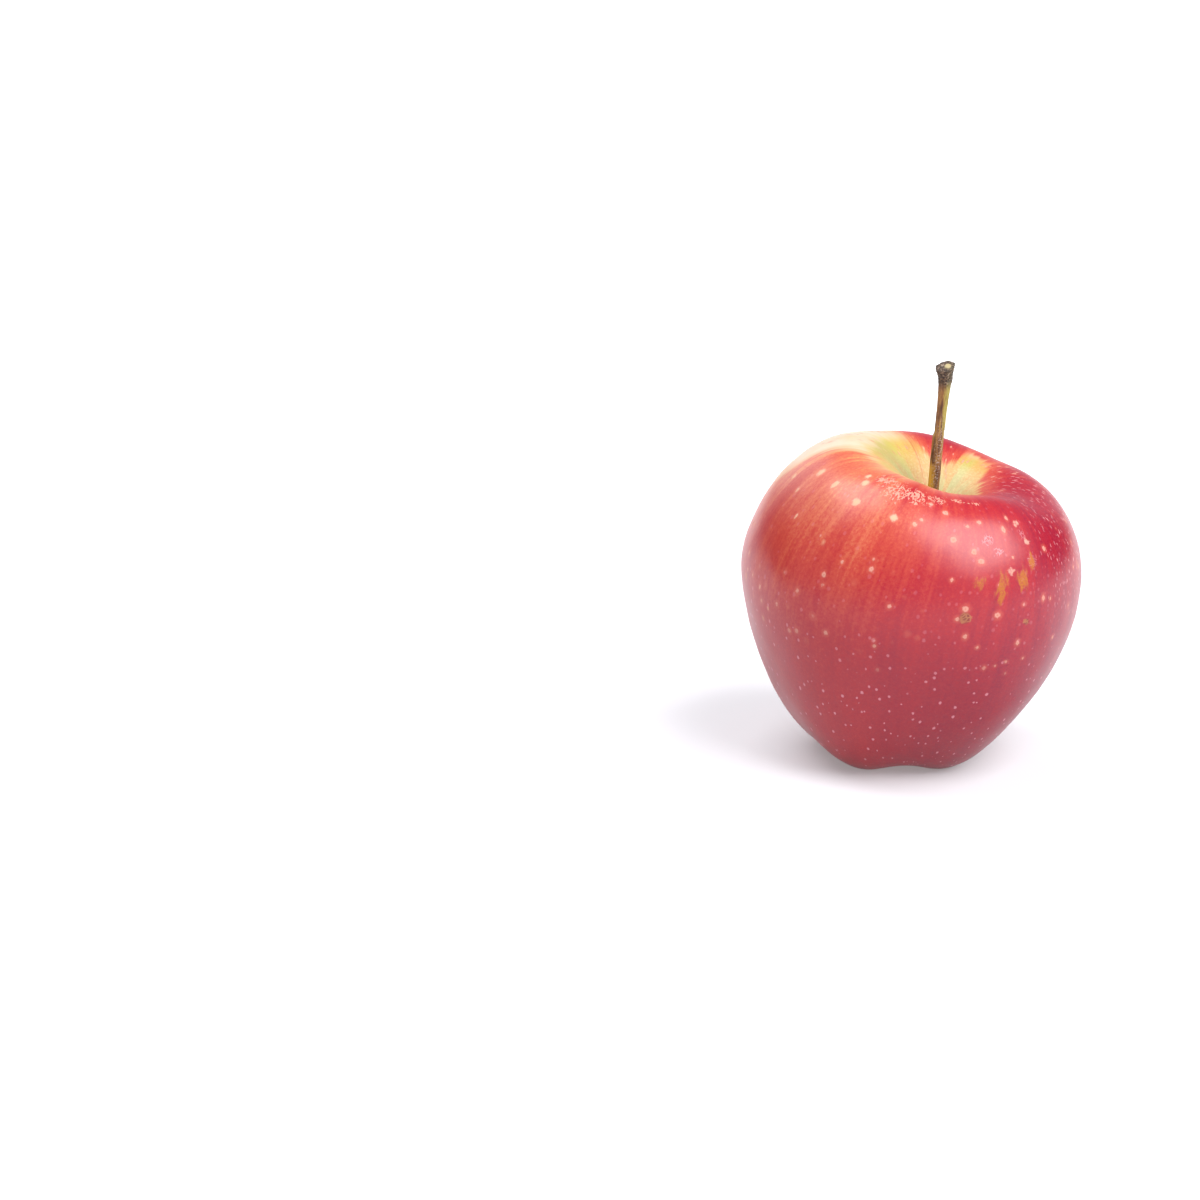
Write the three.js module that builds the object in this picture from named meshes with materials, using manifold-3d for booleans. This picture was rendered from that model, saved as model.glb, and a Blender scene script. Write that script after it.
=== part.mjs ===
// A whole red apple, as picked: the fruit, the woody stem in the hollow at its top, and the dried calyx
// in the basin underneath.
// Millimetres, +Z up. The apple rests on the small flats of its five rib feet, round the basin. The
// origin is on that plane, under the middle of the box of the three pieces.

import * as THREE from 'three';
import Module from 'manifold-3d';

const wasm = await Module();
wasm.setup();

// ---- Driving dimensions ---------------------------------------------------------------------------

// The fruit as it would be if it were upright and perfectly round. Radii are measured from its core line.
const FRUIT = {
  bellyRadius: 37.6,
  bellyHeight: 40.5,
  shoulderRadius: 18.4, // the ring of highest points, round the stem hollow
  shoulderHeight: 67.6,
  footRadius: 12.8, // the ring of lowest points, round the basin
  hollowDepth: 14.0,
  basinDepth: 8.5,
};

// How the outline leaves one of those points and arrives at the next: [radially, upwards].
const OUTLINE = {
  hollowWall: [2.8, 7.6],
  hollowLip: [-7.9, 0],
  shoulderOut: [10.4, 0],
  bellyTop: [0, 13.5],
  bellyUnder: [0, -13.5],
  footOut: [11.7, 0],
  footIn: [-3.8, 0],
  basinFloor: [4.5, -0.2],
};

// Five soft ribs: hardly there at the waist, growing towards the base, where they end in the feet.
const RIBS = {
  count: 5,
  azimuth: THREE.MathUtils.degToRad(19),
  atWaist: 0.008, // share of the radius
  atBase: 0.05,
  footDip: 1.5, // how far the skin rises between two feet
  footPress: 0.35, // how far a foot is pressed flat on the rest plane
  footSpread: 6.5,
  crown: 0.3, // the five low points of the crown round the stem hollow
  crownSpread: 9,
};

// A real apple grows lopsided. The core line bends over, and the shoulders tip with it.
const LEAN = {
  x: THREE.MathUtils.degToRad(13.4),
  y: THREE.MathUtils.degToRad(-6),
};
const BELLY_SHIFT = { x: -1.3, y: 0.2, spread: 14 };
const HOLLOW_SHIFT = { x: 0.9, spread: 9 };
const WAVES = [
  { count: 3, size: 0.24, azimuth: THREE.MathUtils.degToRad(-1) },
  { count: 2, size: 0.16, azimuth: THREE.MathUtils.degToRad(27) },
];

const SOCKET = { radius: 1.5, depth: 4 }; // the hole in the flesh that the stem grows out of
const EYE = { radius: 3, depth: 2.5 }; // the hole in the flesh under the calyx
const GAP = 0.3; // between the pieces

const STEM = {
  // Its middle line above the hollow, from the fruit's core line at the rest plane.
  route: [
    [6.2, -2.6, 62.8],
    [6.95, -3.2, 73.4],
    [7.6, -3.7, 83.0],
    [8.0, -3.9, 90.4],
  ],
  // [share of the length, radius]: a narrow root, a slim shank and the knob that it broke off the spur with.
  girth: [
    [0, 1.02],
    [0.1, 1.12],
    [0.3, 1.17],
    [0.55, 1.08],
    [0.75, 1.14],
    [0.88, 1.38],
    [0.95, 1.62],
    [1, 1.92],
  ],
  slant: 0.25, // the rise of the broken face, per millimetre towards +X
  slantFrom: 0.93,
  dome: 0.35,
  spur: 0.16, // the pointed rim of the knob, as a share of its radius
  bark: 0.03, // long ridges of the bark, as a share of the radius
};

const CALYX = {
  sepals: 5,
  // One dried sepal's middle line, [from the axis, height]: out of the eye, down, and curled back up.
  sepal: [
    [1.5, 9.4],
    [2.0, 5.6],
    [4.2, 4.2],
    [5.8, 5.4],
  ],
  sepalWidth: 3.2,
  sepalTip: 0.9,
  sepalThickness: 0.8,
  sepalArch: 0.5,
  plugRadius: 2.5,
  plugHeight: 2.4,
  stamens: 9,
  stamenRing: 0.9,
  stamenFlare: 1.7, // where the tips stand, as a multiple of where the roots stand
  stamenLength: 2.8,
  stamenRadius: 0.35,
  stamenSink: 0.4, // how deep a root is set into the plug
};

// How finely the pieces are cut into flat faces.
const FACETS = {
  fruit: 70, // a multiple of the ribs, so that each foot gets the same flat
  hollow: 9,
  shoulder: 10,
  flank: 17,
  basin: 12,
  stem: 16,
  stemSteps: 30,
  sepal: 8,
  sepalSteps: 7,
  plug: 15,
  stamen: 3,
};

const COLOURS = { skin: '#b8313d', stem: '#6b5324', calyx: '#54452f' };

// ---- Helpers --------------------------------------------------------------------------------------

const FULL_TURN = 2 * Math.PI;
const UP = new THREE.Vector3(0, 0, 1);

const at = (radius, height) => new THREE.Vector2(radius, height);
const bell = (offset, spread) => Math.exp(-((offset / spread) ** 2));
const clamp = THREE.MathUtils.clamp;

// The azimuths of a full turn in equal steps.
function circle(steps, start = 0) {
  return Array.from({ length: steps }, (_, step) => start + (FULL_TURN * step) / steps);
}

function middleOf(points) {
  const sum = points.reduce((total, point) => total.add(point), new THREE.Vector3());
  return sum.divideScalar(points.length);
}

function indexedGeometry(positions, triangles) {
  const geometry = new THREE.BufferGeometry();
  geometry.setAttribute('position', new THREE.BufferAttribute(positions, 3));
  geometry.setIndex(new THREE.BufferAttribute(triangles, 1));
  geometry.computeVertexNormals();
  return geometry;
}

// Closes a skin over rings of points, with a fan over each end. The rings turn anticlockwise as seen
// from the first end, and firstPeak and lastPeak are the points in the middle of the fans.
function skinOver(rings, firstPeak = middleOf(rings[0]), lastPeak = middleOf(rings.at(-1))) {
  const sides = rings[0].length;
  const last = (rings.length - 1) * sides;
  const peaks = [rings.length * sides, rings.length * sides + 1];
  const points = [...rings.flat(), firstPeak, lastPeak];
  const triangles = [];
  for (let side = 0; side < sides; side += 1) {
    const next = (side + 1) % sides;
    triangles.push(peaks[0], side, next);
    for (let ring = 0; ring < last; ring += sides) {
      triangles.push(ring + side, ring + sides + side, ring + next);
      triangles.push(ring + next, ring + sides + side, ring + sides + next);
    }
    triangles.push(peaks[1], last + next, last + side);
  }
  const positions = new Float32Array(points.flatMap((point) => point.toArray()));
  return indexedGeometry(positions, new Uint32Array(triangles));
}

function solidOf(geometry) {
  const mesh = new wasm.Mesh({
    numProp: 3,
    vertProperties: geometry.attributes.position.array,
    triVerts: geometry.index.array,
  });
  return new wasm.Manifold(mesh);
}

function fuse(geometries) {
  const joined = geometries.map(solidOf).reduce((whole, piece) => whole.add(piece));
  const mesh = joined.getMesh();
  return indexedGeometry(mesh.vertProperties, mesh.triVerts);
}

// ---- The fruit ------------------------------------------------------------------------------------

// How far a point stands from the core line, with the ribs and the uneven girth.
function reach(radius, height, azimuth, rib) {
  const lowness = clamp(1 - height / FRUIT.shoulderHeight, 0, 1);
  const ribbing = rib * (RIBS.atWaist + RIBS.atBase * lowness ** 3);
  const waves = WAVES.map((wave) => wave.size * Math.cos(wave.count * (azimuth - wave.azimuth)));
  const girth = waves.reduce((sum, wave) => sum + wave);
  return radius * (1 + ribbing) + girth * (radius / FRUIT.bellyRadius);
}

// How far the ribs lift a point: the feet hang between five dips, and the crown has five low points.
function lift(radius, isUpper, rib) {
  const crown = RIBS.crown * rib * bell(radius - FRUIT.shoulderRadius, RIBS.crownSpread);
  const foot = (RIBS.footDip * (1 - rib)) / 2 - RIBS.footPress;
  return isUpper ? crown : foot * bell(radius - FRUIT.footRadius, RIBS.footSpread);
}

// Where a point of the upright, round apple ends up in the one that grew lopsided.
function grown(radius, height, azimuth) {
  const isUpper = height > FRUIT.bellyHeight;
  const rib = Math.cos(RIBS.count * (azimuth - RIBS.azimuth));
  const alongX = reach(radius, height, azimuth, rib) * Math.cos(azimuth);
  const alongY = reach(radius, height, azimuth, rib) * Math.sin(azimuth);
  const level = height + lift(radius, isUpper, rib);

  const bend = clamp(level / FRUIT.shoulderHeight, 0, 1);
  const drift = (FRUIT.shoulderHeight * bend ** 2) / 2;
  const belly = bell(level - FRUIT.bellyHeight, BELLY_SHIFT.spread);
  const hollow = isUpper ? bell(radius, HOLLOW_SHIFT.spread) : 0;
  const x = alongX + drift * LEAN.x + belly * BELLY_SHIFT.x + hollow * HOLLOW_SHIFT.x;
  const y = alongY + drift * LEAN.y + belly * BELLY_SHIFT.y;
  const z = level - alongX * Math.sin(LEAN.x * bend) - alongY * Math.sin(LEAN.y * bend);
  return new THREE.Vector3(x, y, Math.max(z, 0));
}

// The points of one stretch of the outline, after its first.
function stretch(from, leaving, arriving, to, steps) {
  const first = from.clone().add(at(...leaving));
  const second = to.clone().add(at(...arriving));
  return new THREE.CubicBezierCurve(from, first, second, to).getPoints(steps).slice(1);
}

// Half of the upright apple's section, from the floor of the socket over the shoulder to the eye.
function fruitOutline() {
  const mouth = at(SOCKET.radius, FRUIT.shoulderHeight - FRUIT.hollowDepth);
  const shoulder = at(FRUIT.shoulderRadius, FRUIT.shoulderHeight);
  const belly = at(FRUIT.bellyRadius, FRUIT.bellyHeight);
  const foot = at(FRUIT.footRadius, 0);
  const eye = at(EYE.radius, FRUIT.basinDepth);
  return [
    at(SOCKET.radius, mouth.y - SOCKET.depth),
    mouth,
    ...stretch(mouth, OUTLINE.hollowWall, OUTLINE.hollowLip, shoulder, FACETS.hollow),
    ...stretch(shoulder, OUTLINE.shoulderOut, OUTLINE.bellyTop, belly, FACETS.shoulder),
    ...stretch(belly, OUTLINE.bellyUnder, OUTLINE.footOut, foot, FACETS.flank),
    ...stretch(foot, OUTLINE.footIn, OUTLINE.basinFloor, eye, FACETS.basin),
    at(EYE.radius, eye.y + EYE.depth),
  ];
}

function fruitGeometry() {
  const azimuths = circle(FACETS.fruit, RIBS.azimuth);
  const rings = fruitOutline().map(({ x, y }) => azimuths.map((azimuth) => grown(x, y, azimuth)));
  return skinOver(rings);
}

// ---- The stem -------------------------------------------------------------------------------------

// The knob at the end is broken off slantwise and has one pointed rim.
function stemPoint(centre, share, radius, azimuth) {
  const ridges = Math.sin(3 * azimuth + 7 * share) + Math.sin(5 * azimuth - 11 * share);
  const knob = clamp((share - STEM.slantFrom) / (1 - STEM.slantFrom), 0, 1);
  const spur = STEM.spur * knob * Math.max(0, -Math.cos(azimuth)) ** 6;
  const reach = radius * (1 + STEM.bark * ridges + spur);
  const x = reach * Math.cos(azimuth);
  const y = reach * Math.sin(azimuth);
  return new THREE.Vector3(x, y, x * STEM.slant * knob).add(centre);
}

function stemGeometry() {
  const mouth = FRUIT.shoulderHeight - FRUIT.hollowDepth;
  const root = grown(0, mouth - SOCKET.depth + GAP, 0);
  const neck = grown(0, mouth, 0);
  const route = [root, neck, ...STEM.route.map((point) => new THREE.Vector3(...point))];
  const line = new THREE.CatmullRomCurve3(route);
  const girth = new THREE.SplineCurve(STEM.girth.map(([share, radius]) => at(share, radius)));
  const rings = [];
  for (let step = FACETS.stemSteps; step >= 0; step -= 1) {
    const { x: share, y: radius } = girth.getPoint(step / FACETS.stemSteps);
    const centre = line.getPointAt(clamp(share, 0, 1));
    rings.push(circle(FACETS.stem).map((azimuth) => stemPoint(centre, share, radius, azimuth)));
  }
  const top = middleOf(rings[0]);
  top.z += STEM.dome;
  return skinOver(rings, top);
}

// ---- The calyx ------------------------------------------------------------------------------------

// A thin, arched blade along the sepal's middle line, narrowing to its tip.
function sepalGeometry(azimuth) {
  const line = new THREE.CubicBezierCurve(...CALYX.sepal.map((point) => at(...point)));
  const turn = new THREE.Matrix4().makeRotationZ(azimuth);
  const rings = [];
  for (let step = 0; step <= FACETS.sepalSteps; step += 1) {
    const share = step / FACETS.sepalSteps;
    const centre = line.getPoint(share);
    const along = line.getTangent(share);
    const width = THREE.MathUtils.lerp(CALYX.sepalWidth, CALYX.sepalTip, share ** 1.5);
    const ring = circle(FACETS.sepal).map((angle) => {
      const across = (-Math.cos(angle) * width) / 2;
      const arch = CALYX.sepalArch * Math.sin(angle) ** 2 * (width / CALYX.sepalWidth);
      const out = arch + (Math.sin(angle) * CALYX.sepalThickness) / 2;
      return new THREE.Vector3(centre.x - along.y * out, across, centre.y + along.x * out);
    });
    rings.push(ring.map((point) => point.applyMatrix4(turn)));
  }
  return skinOver(rings);
}

// A level ring of points round a centre, for the plug and the roots of the stamens.
function levelRing(centre, radius, sides) {
  return circle(sides).map((azimuth) => {
    const offset = new THREE.Vector3(Math.cos(azimuth), Math.sin(azimuth), 0);
    return offset.multiplyScalar(radius).add(centre);
  });
}

// The dried floor of the flower, which fills the eye and carries the sepals and the stamens.
function plugGeometry(top) {
  const floor = top - CALYX.plugHeight;
  const rings = [top, floor].map((height) => {
    return levelRing(new THREE.Vector3(0, 0, height), CALYX.plugRadius, FACETS.plug);
  });
  return skinOver(rings);
}

function stamenGeometry(azimuth, floor) {
  const root = new THREE.Vector3(CALYX.stamenRing, 0, 0).applyAxisAngle(UP, azimuth);
  const tip = root.clone().multiplyScalar(CALYX.stamenFlare);
  root.z = floor + CALYX.stamenSink;
  tip.z = floor - CALYX.stamenLength;
  return skinOver([levelRing(root, CALYX.stamenRadius, FACETS.stamen)], root, tip);
}

function calyxGeometry() {
  const top = FRUIT.basinDepth + EYE.depth - GAP;
  const floor = top - CALYX.plugHeight;
  const sepals = circle(CALYX.sepals, RIBS.azimuth).map(sepalGeometry);
  const stamens = circle(CALYX.stamens).map((azimuth) => stamenGeometry(azimuth, floor));
  return fuse([plugGeometry(top), ...sepals, ...stamens]);
}

// ---- The apple ------------------------------------------------------------------------------------

function piece(name, geometry, color, roughness) {
  const material = new THREE.MeshStandardMaterial({ color, roughness, metalness: 0 });
  const mesh = new THREE.Mesh(geometry, material);
  mesh.name = name;
  return mesh;
}

// The calyx stands on the core line, where the eye is.
function calyxPiece() {
  const calyx = piece('calyx', calyxGeometry(), COLOURS.calyx, 0.9);
  const eye = grown(0, FRUIT.basinDepth, 0);
  calyx.position.set(eye.x, eye.y, 0);
  return calyx;
}

const pieces = new THREE.Group();
pieces.add(piece('fruit', fruitGeometry(), COLOURS.skin, 0.3));
pieces.add(piece('stem', stemGeometry(), COLOURS.stem, 0.8));
pieces.add(calyxPiece());

const box = new THREE.Box3().setFromObject(pieces);
const middle = box.getCenter(new THREE.Vector3());
pieces.position.set(-middle.x, -middle.y, -box.min.z);

const apple = new THREE.Group();
apple.add(pieces);

export default apple;
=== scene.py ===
# %% [markdown]
# # A whole red apple
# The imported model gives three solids: the fruit, its stem and its dried calyx. Each one is coarse, so
# each gets a finer piece here that keeps its form and place, with the finish of the real thing. The box
# of the solids is noted first, because the finer pieces have to fill the same room.

# %% Load the frame
import math
import random

import bpy
import numpy as np
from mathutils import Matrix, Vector


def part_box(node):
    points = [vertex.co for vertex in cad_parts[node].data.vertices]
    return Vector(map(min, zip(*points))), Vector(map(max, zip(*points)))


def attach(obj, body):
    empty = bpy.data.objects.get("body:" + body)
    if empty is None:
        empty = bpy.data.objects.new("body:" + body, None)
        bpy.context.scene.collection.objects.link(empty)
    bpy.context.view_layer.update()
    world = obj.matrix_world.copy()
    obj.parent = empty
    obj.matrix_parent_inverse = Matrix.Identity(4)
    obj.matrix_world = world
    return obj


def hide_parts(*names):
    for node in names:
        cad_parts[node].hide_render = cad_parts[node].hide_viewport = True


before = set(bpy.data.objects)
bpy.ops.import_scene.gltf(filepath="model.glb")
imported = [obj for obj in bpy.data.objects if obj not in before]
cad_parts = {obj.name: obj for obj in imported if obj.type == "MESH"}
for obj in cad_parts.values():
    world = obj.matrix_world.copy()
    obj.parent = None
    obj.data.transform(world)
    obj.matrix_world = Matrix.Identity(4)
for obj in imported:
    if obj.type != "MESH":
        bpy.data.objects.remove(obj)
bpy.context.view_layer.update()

MM = 0.001


# %% [markdown]
# ## Colours and nodes
# Colours are easy to name as sRGB hex, the way a paint chart gives them, but Blender's sockets hold
# linear light. One function turns the first into the second. Another adds a node with its settings and
# its links, so that a material reads as a list of steps. A natural finish is many thin colours over one
# another, so a third lays a list of them on a ground, in order.

# %% Helpers for colours and nodes
def linear(hex_colour):
    """An sRGB hex colour as linear red, green, blue and alpha."""
    shares = [int(hex_colour[start : start + 2], 16) / 255 for start in (1, 3, 5)]
    return [s / 12.92 if s <= 0.04045 else ((s + 0.055) / 1.055) ** 2.4 for s in shares] + [1.0]


def add(tree, kind, inputs=None, out=0, **settings):
    """Adds a node with these settings, fills or links its inputs, and returns one of its outputs."""
    node = tree.nodes.new("ShaderNode" + kind)
    for name, value in settings.items():
        setattr(node, name, value)
    for socket, value in (inputs or {}).items():
        if isinstance(value, bpy.types.NodeSocket):
            tree.links.new(value, node.inputs[socket])
        else:
            node.inputs[socket].default_value = value
    return node.outputs[out] if node.outputs else node


def new_material(name):
    """A material with an empty node tree."""
    material = bpy.data.materials.new(name)
    material.use_nodes = True
    material.node_tree.nodes.clear()
    return material, material.node_tree


def repeats(size_mm):
    """The scale that makes one cell or wave of a texture this many millimetres wide."""
    return 1 / (size_mm * MM)


# A colour mix has its own sockets: what is below, what is laid over it, and the result.
BELOW, OVER, MIXED = 6, 7, 2


def laid_over(tree, colour, layers):
    """Lays colours on a ground. Each layer is where it lies, how much it covers there, and its colour."""
    for where, strength, hex_colour in layers:
        share = add(tree, "Math", {0: where, 1: strength}, operation="MULTIPLY")
        layer = {0: share, BELOW: colour, OVER: linear(hex_colour)}
        colour = add(tree, "Mix", layer, MIXED, data_type="RGBA")
    return colour


print("crimson as linear light:", [round(share, 3) for share in linear("#b01e35")])


# %% [markdown]
# ## The camera
# A long lens from 0.7 m away, a little above the fruit and a little to its left, sees it as one does on
# a table, without stretching it.

# %% Camera
LENS_MM = 93
SENSOR_MM = 36
LOOK_DOWN = math.radians(16.6)
CAMERA_PLACE = Vector((-69.95, -670.17, 235.7)) * MM

camera = bpy.data.objects.new("camera", bpy.data.cameras.new("camera"))
camera.data.lens = LENS_MM
camera.data.sensor_width = SENSOR_MM
camera.location = CAMERA_PLACE
camera.rotation_euler = (math.radians(90) - LOOK_DOWN, 0, 0)
bpy.context.scene.collection.objects.link(camera)
bpy.context.scene.camera = camera
print("camera to the fruit:", round(CAMERA_PLACE.length, 3), "m")


# %% [markdown]
# ## The shape of the fruit
# An apple is not a ball. Its outline runs down into the hollow round the stem, over the shoulders, down a
# long flank and into the basin underneath. Four Bezier stretches draw that outline, and a full turn of it
# makes an upright, round apple. Then come the things that make it a grown one: five ribs that end in feet,
# a lean, and a girth that is not quite even. A formula does this better than sculpting, because the finer
# skin then lies exactly where the solid does.

# %% Outline of the upright apple, in millimetres
FRUIT = dict(belly_radius=37.6, belly_height=40.5, shoulder_radius=18.4, shoulder_height=67.6)
FRUIT["foot_radius"] = 12.8
HOLLOW_DEPTH = 14.0
BASIN_DEPTH = 8.5
SOCKET = dict(radius=1.5, depth=4.0)
EYE = dict(radius=3.0, depth=2.5)

# How the outline leaves one of those points and arrives at the next: outwards and upwards.
HANDLES = dict(hollow_wall=(2.8, 7.6), hollow_lip=(-7.9, 0), shoulder_out=(10.4, 0), belly_top=(0, 13.5))
HANDLES.update(belly_under=(0, -13.5), foot_out=(11.7, 0), foot_in=(-3.8, 0), basin_floor=(4.5, -0.2))


def bezier(start, first, second, end, t):
    """Points of the Bezier line with these four corners, at t from 0 to 1."""
    return start * (1 - t) ** 3 + 3 * first * t * (1 - t) ** 2 + 3 * second * t**2 * (1 - t) + end * t**3


def stretch(start, leaving, arriving, end, steps=80):
    """The points of a Bezier stretch, after its first."""
    start, leaving, arriving, end = map(np.array, (start, leaving, arriving, end))
    t = np.linspace(0, 1, steps + 1)[1:, None]
    return bezier(start, start + leaving, end + arriving, end, t)


def fruit_outline():
    """[radius, height] from the mouth of the stem's socket to the rim of the eye."""
    mouth = (SOCKET["radius"], FRUIT["shoulder_height"] - HOLLOW_DEPTH)
    shoulder = (FRUIT["shoulder_radius"], FRUIT["shoulder_height"])
    belly = (FRUIT["belly_radius"], FRUIT["belly_height"])
    foot = (FRUIT["foot_radius"], 0.0)
    eye = (EYE["radius"], BASIN_DEPTH)
    return np.vstack([
        [mouth],
        stretch(mouth, HANDLES["hollow_wall"], HANDLES["hollow_lip"], shoulder),
        stretch(shoulder, HANDLES["shoulder_out"], HANDLES["belly_top"], belly),
        stretch(belly, HANDLES["belly_under"], HANDLES["foot_out"], foot),
        stretch(foot, HANDLES["foot_in"], HANDLES["basin_floor"], eye),
    ])


def along(points):
    """How far each point of a line is from its start, along the line."""
    steps = np.linalg.norm(np.diff(points, axis=0), axis=1)
    return np.concatenate([[0], np.cumsum(steps)])


outline = fruit_outline()
outline_length = along(outline)[-1]
print("outline:", len(outline), "points,", round(outline_length, 1), "mm long")


# %% From the upright apple to the grown one
RIB_COUNT = 5
RIB_AZIMUTH = math.radians(19)
RIBS = dict(at_waist=0.008, at_base=0.05)  # shares of the radius
CROWN = dict(height=0.3, spread=9)  # millimetres, as are the next three
FEET = dict(dip=1.5, press=0.35, spread=6.5)
BELLY_SHIFT = dict(x=-1.3, y=0.2, spread=14)
HOLLOW_SHIFT = dict(x=0.9, spread=9)
LEAN_X, LEAN_Y = math.radians(13.4), math.radians(-6)
GIRTH_WAVES = [(3, 0.24, math.radians(-1)), (2, 0.16, math.radians(27))]  # count, millimetres and azimuth


def bell(offset, spread):
    """1 at no offset, falling off softly to 0 on both sides."""
    return np.exp(-((offset / spread) ** 2))


def smooth(value, none, full):
    """0 up to none, 1 from full on, with a soft turn at both. Full may lie on either side of none."""
    share = np.clip((value - none) / (full - none), 0, 1)
    return share * share * (3 - 2 * share)


def grown(radius, height, azimuth):
    """Where a point of the upright, round apple ends up, in millimetres from the core line's foot."""
    is_upper = height > FRUIT["belly_height"]
    rib = np.cos(RIB_COUNT * (azimuth - RIB_AZIMUTH))
    lowness = np.clip(1 - height / FRUIT["shoulder_height"], 0, 1)
    girth = sum(size * np.cos(count * (azimuth - phase)) for count, size, phase in GIRTH_WAVES)
    ribbing = rib * (RIBS["at_waist"] + RIBS["at_base"] * lowness**3)
    reach = radius * (1 + ribbing) + girth * radius / FRUIT["belly_radius"]

    crown = CROWN["height"] * rib * bell(radius - FRUIT["shoulder_radius"], CROWN["spread"])
    foot = FEET["dip"] * (1 - rib) / 2 - FEET["press"]
    foot = foot * bell(radius - FRUIT["foot_radius"], FEET["spread"])
    level = height + np.where(is_upper, crown, foot)

    bend = np.clip(level / FRUIT["shoulder_height"], 0, 1)
    drift = FRUIT["shoulder_height"] * bend**2 / 2
    belly = bell(level - FRUIT["belly_height"], BELLY_SHIFT["spread"])
    hollow = np.where(is_upper, bell(radius, HOLLOW_SHIFT["spread"]), 0)
    along_x, along_y = reach * np.cos(azimuth), reach * np.sin(azimuth)
    x = along_x + drift * LEAN_X + BELLY_SHIFT["x"] * belly + HOLLOW_SHIFT["x"] * hollow
    y = along_y + drift * LEAN_Y + BELLY_SHIFT["y"] * belly
    z = level - along_x * np.sin(LEAN_X * bend) - along_y * np.sin(LEAN_Y * bend)
    return np.stack([x, y, np.maximum(z, 0)], axis=-1)


def core_line_foot():
    """Where the core line meets the rest plane in the frame: the two boxes have the same middle."""
    azimuths = np.radians(np.arange(0, 360, 1))
    points = grown(outline[:, None, 0], outline[:, None, 1], azimuths[None, :]).reshape(-1, 3)
    own_middle = (points.min(axis=0) + points.max(axis=0)) / 2
    low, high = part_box("fruit")
    middle = (low + high) / 2 / MM
    return np.array([middle.x - own_middle[0], middle.y - own_middle[1], 0.0])


CORE = core_line_foot()
print("core line's foot in mm:", CORE.round(2))


# %% [markdown]
# ## A closed skin over rings
# The fruit, the stem and the sepals are all rings of points, one after the other, with a fan over each
# end. One function makes such a mesh and shades it smooth.

# %% Mesh helpers
def circle(sides):
    """The angles of this many points round a full turn, as a row."""
    return np.linspace(0, math.tau, sides, endpoint=False)[None, :]


def unit(vectors):
    """The same directions, each of length 1."""
    return vectors / np.linalg.norm(vectors, axis=-1, keepdims=True)


def ring_faces(ring_count, sides):
    """Quads between the rings, and a fan of triangles over each end, all facing out."""
    ring = np.arange(ring_count - 1)[:, None] * sides
    side = np.arange(sides)[None, :]
    after = (side + 1) % sides
    below = ring + sides
    quads = np.stack(np.broadcast_arrays(ring + side, below + side, below + after, ring + after), -1)
    last, first_peak, last_peak = (ring_count - 1) * sides, ring_count * sides, ring_count * sides + 1
    fans = [(first_peak, s, (s + 1) % sides) for s in range(sides)]
    fans += [(last_peak, last + (s + 1) % sides, last + s) for s in range(sides)]
    return quads.reshape(-1, 4).tolist() + fans


def skin_over(rings):
    """Points and faces of a closed skin over rings that turn anticlockwise as seen from the first end."""
    peaks = [rings[0].mean(axis=0), rings[-1].mean(axis=0)]
    points = np.vstack([rings.reshape(-1, 3), peaks])
    return points, ring_faces(len(rings), rings.shape[1])


def make_piece(name, points_mm, faces, material):
    """A smooth mesh object in the frame, from points in millimetres round the core line."""
    mesh = bpy.data.meshes.new(name)
    mesh.from_pydata(((points_mm + CORE) * MM).tolist(), [], faces)
    mesh.shade_smooth()
    mesh.materials.append(material)
    piece = bpy.data.objects.new(name, mesh)
    bpy.context.scene.collection.objects.link(piece)
    return piece


def note_on_points(piece, name, values):
    """Stores one number, or one vector, for each point, where the material can read it."""
    is_vector = np.ndim(values) == 2
    kind, field = ("FLOAT_VECTOR", "vector") if is_vector else ("FLOAT", "value")
    made = piece.data.attributes.new(name, kind, "POINT")
    made.data.foreach_set(field, np.ascontiguousarray(values, dtype=np.float32).ravel())


print("a ring of 4 sides makes faces such as", ring_faces(2, 4)[0])


# %% [markdown]
# ## The fruit
# The skin is the same formula at a step of about half a millimetre. Real skin is never a perfect curve:
# it has slow swellings that bend every reflection a little, so a fraction of a millimetre of them is
# added. Each point also keeps where it lies on the skin: how far round, and how far down from the stem.
# The colours below follow those, because an apple's streaks and dots grow along its meridians.

# %% Fruit mesh
FRUIT_COLUMNS = 360
FRUIT_ROWS = 262
SWELLINGS = [(17.0, 0.10, 11), (6.5, 0.025, 12)]  # wavelength and height in millimetres, and seed
# Millimetres of height and of radius between which the swellings set in. The feet, the socket and the eye
# have none, because the fruit meets the table, the stem and the calyx there.
CLEAR_HEIGHTS = (0.2, 3.0)
CLEAR_RADII = (4.0, 8.0)


def swelling(points, wavelength, seed, waves=28):
    """A slow, even unevenness between about -1 and 1: waves of one length in random directions."""
    draw = np.random.default_rng(seed)
    directions = draw.normal(size=(waves, 3))
    directions *= math.tau / wavelength / np.linalg.norm(directions, axis=1, keepdims=True)
    phases = draw.uniform(0, math.tau, waves)
    return np.cos(points @ directions.T + phases).sum(axis=-1) / math.sqrt(waves / 2) / 2


def outline_at(places):
    """Radius and height of the upright apple at these distances along its outline."""
    lengths = along(outline)
    return np.interp(places, lengths, outline[:, 0]), np.interp(places, lengths, outline[:, 1])


def skin_normals(rings):
    """Which way is out at each point of the rings."""
    downwards = np.gradient(rings, axis=0)
    sideways = np.roll(rings, -1, axis=1) - np.roll(rings, 1, axis=1)
    return unit(np.cross(downwards, sideways))


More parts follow.
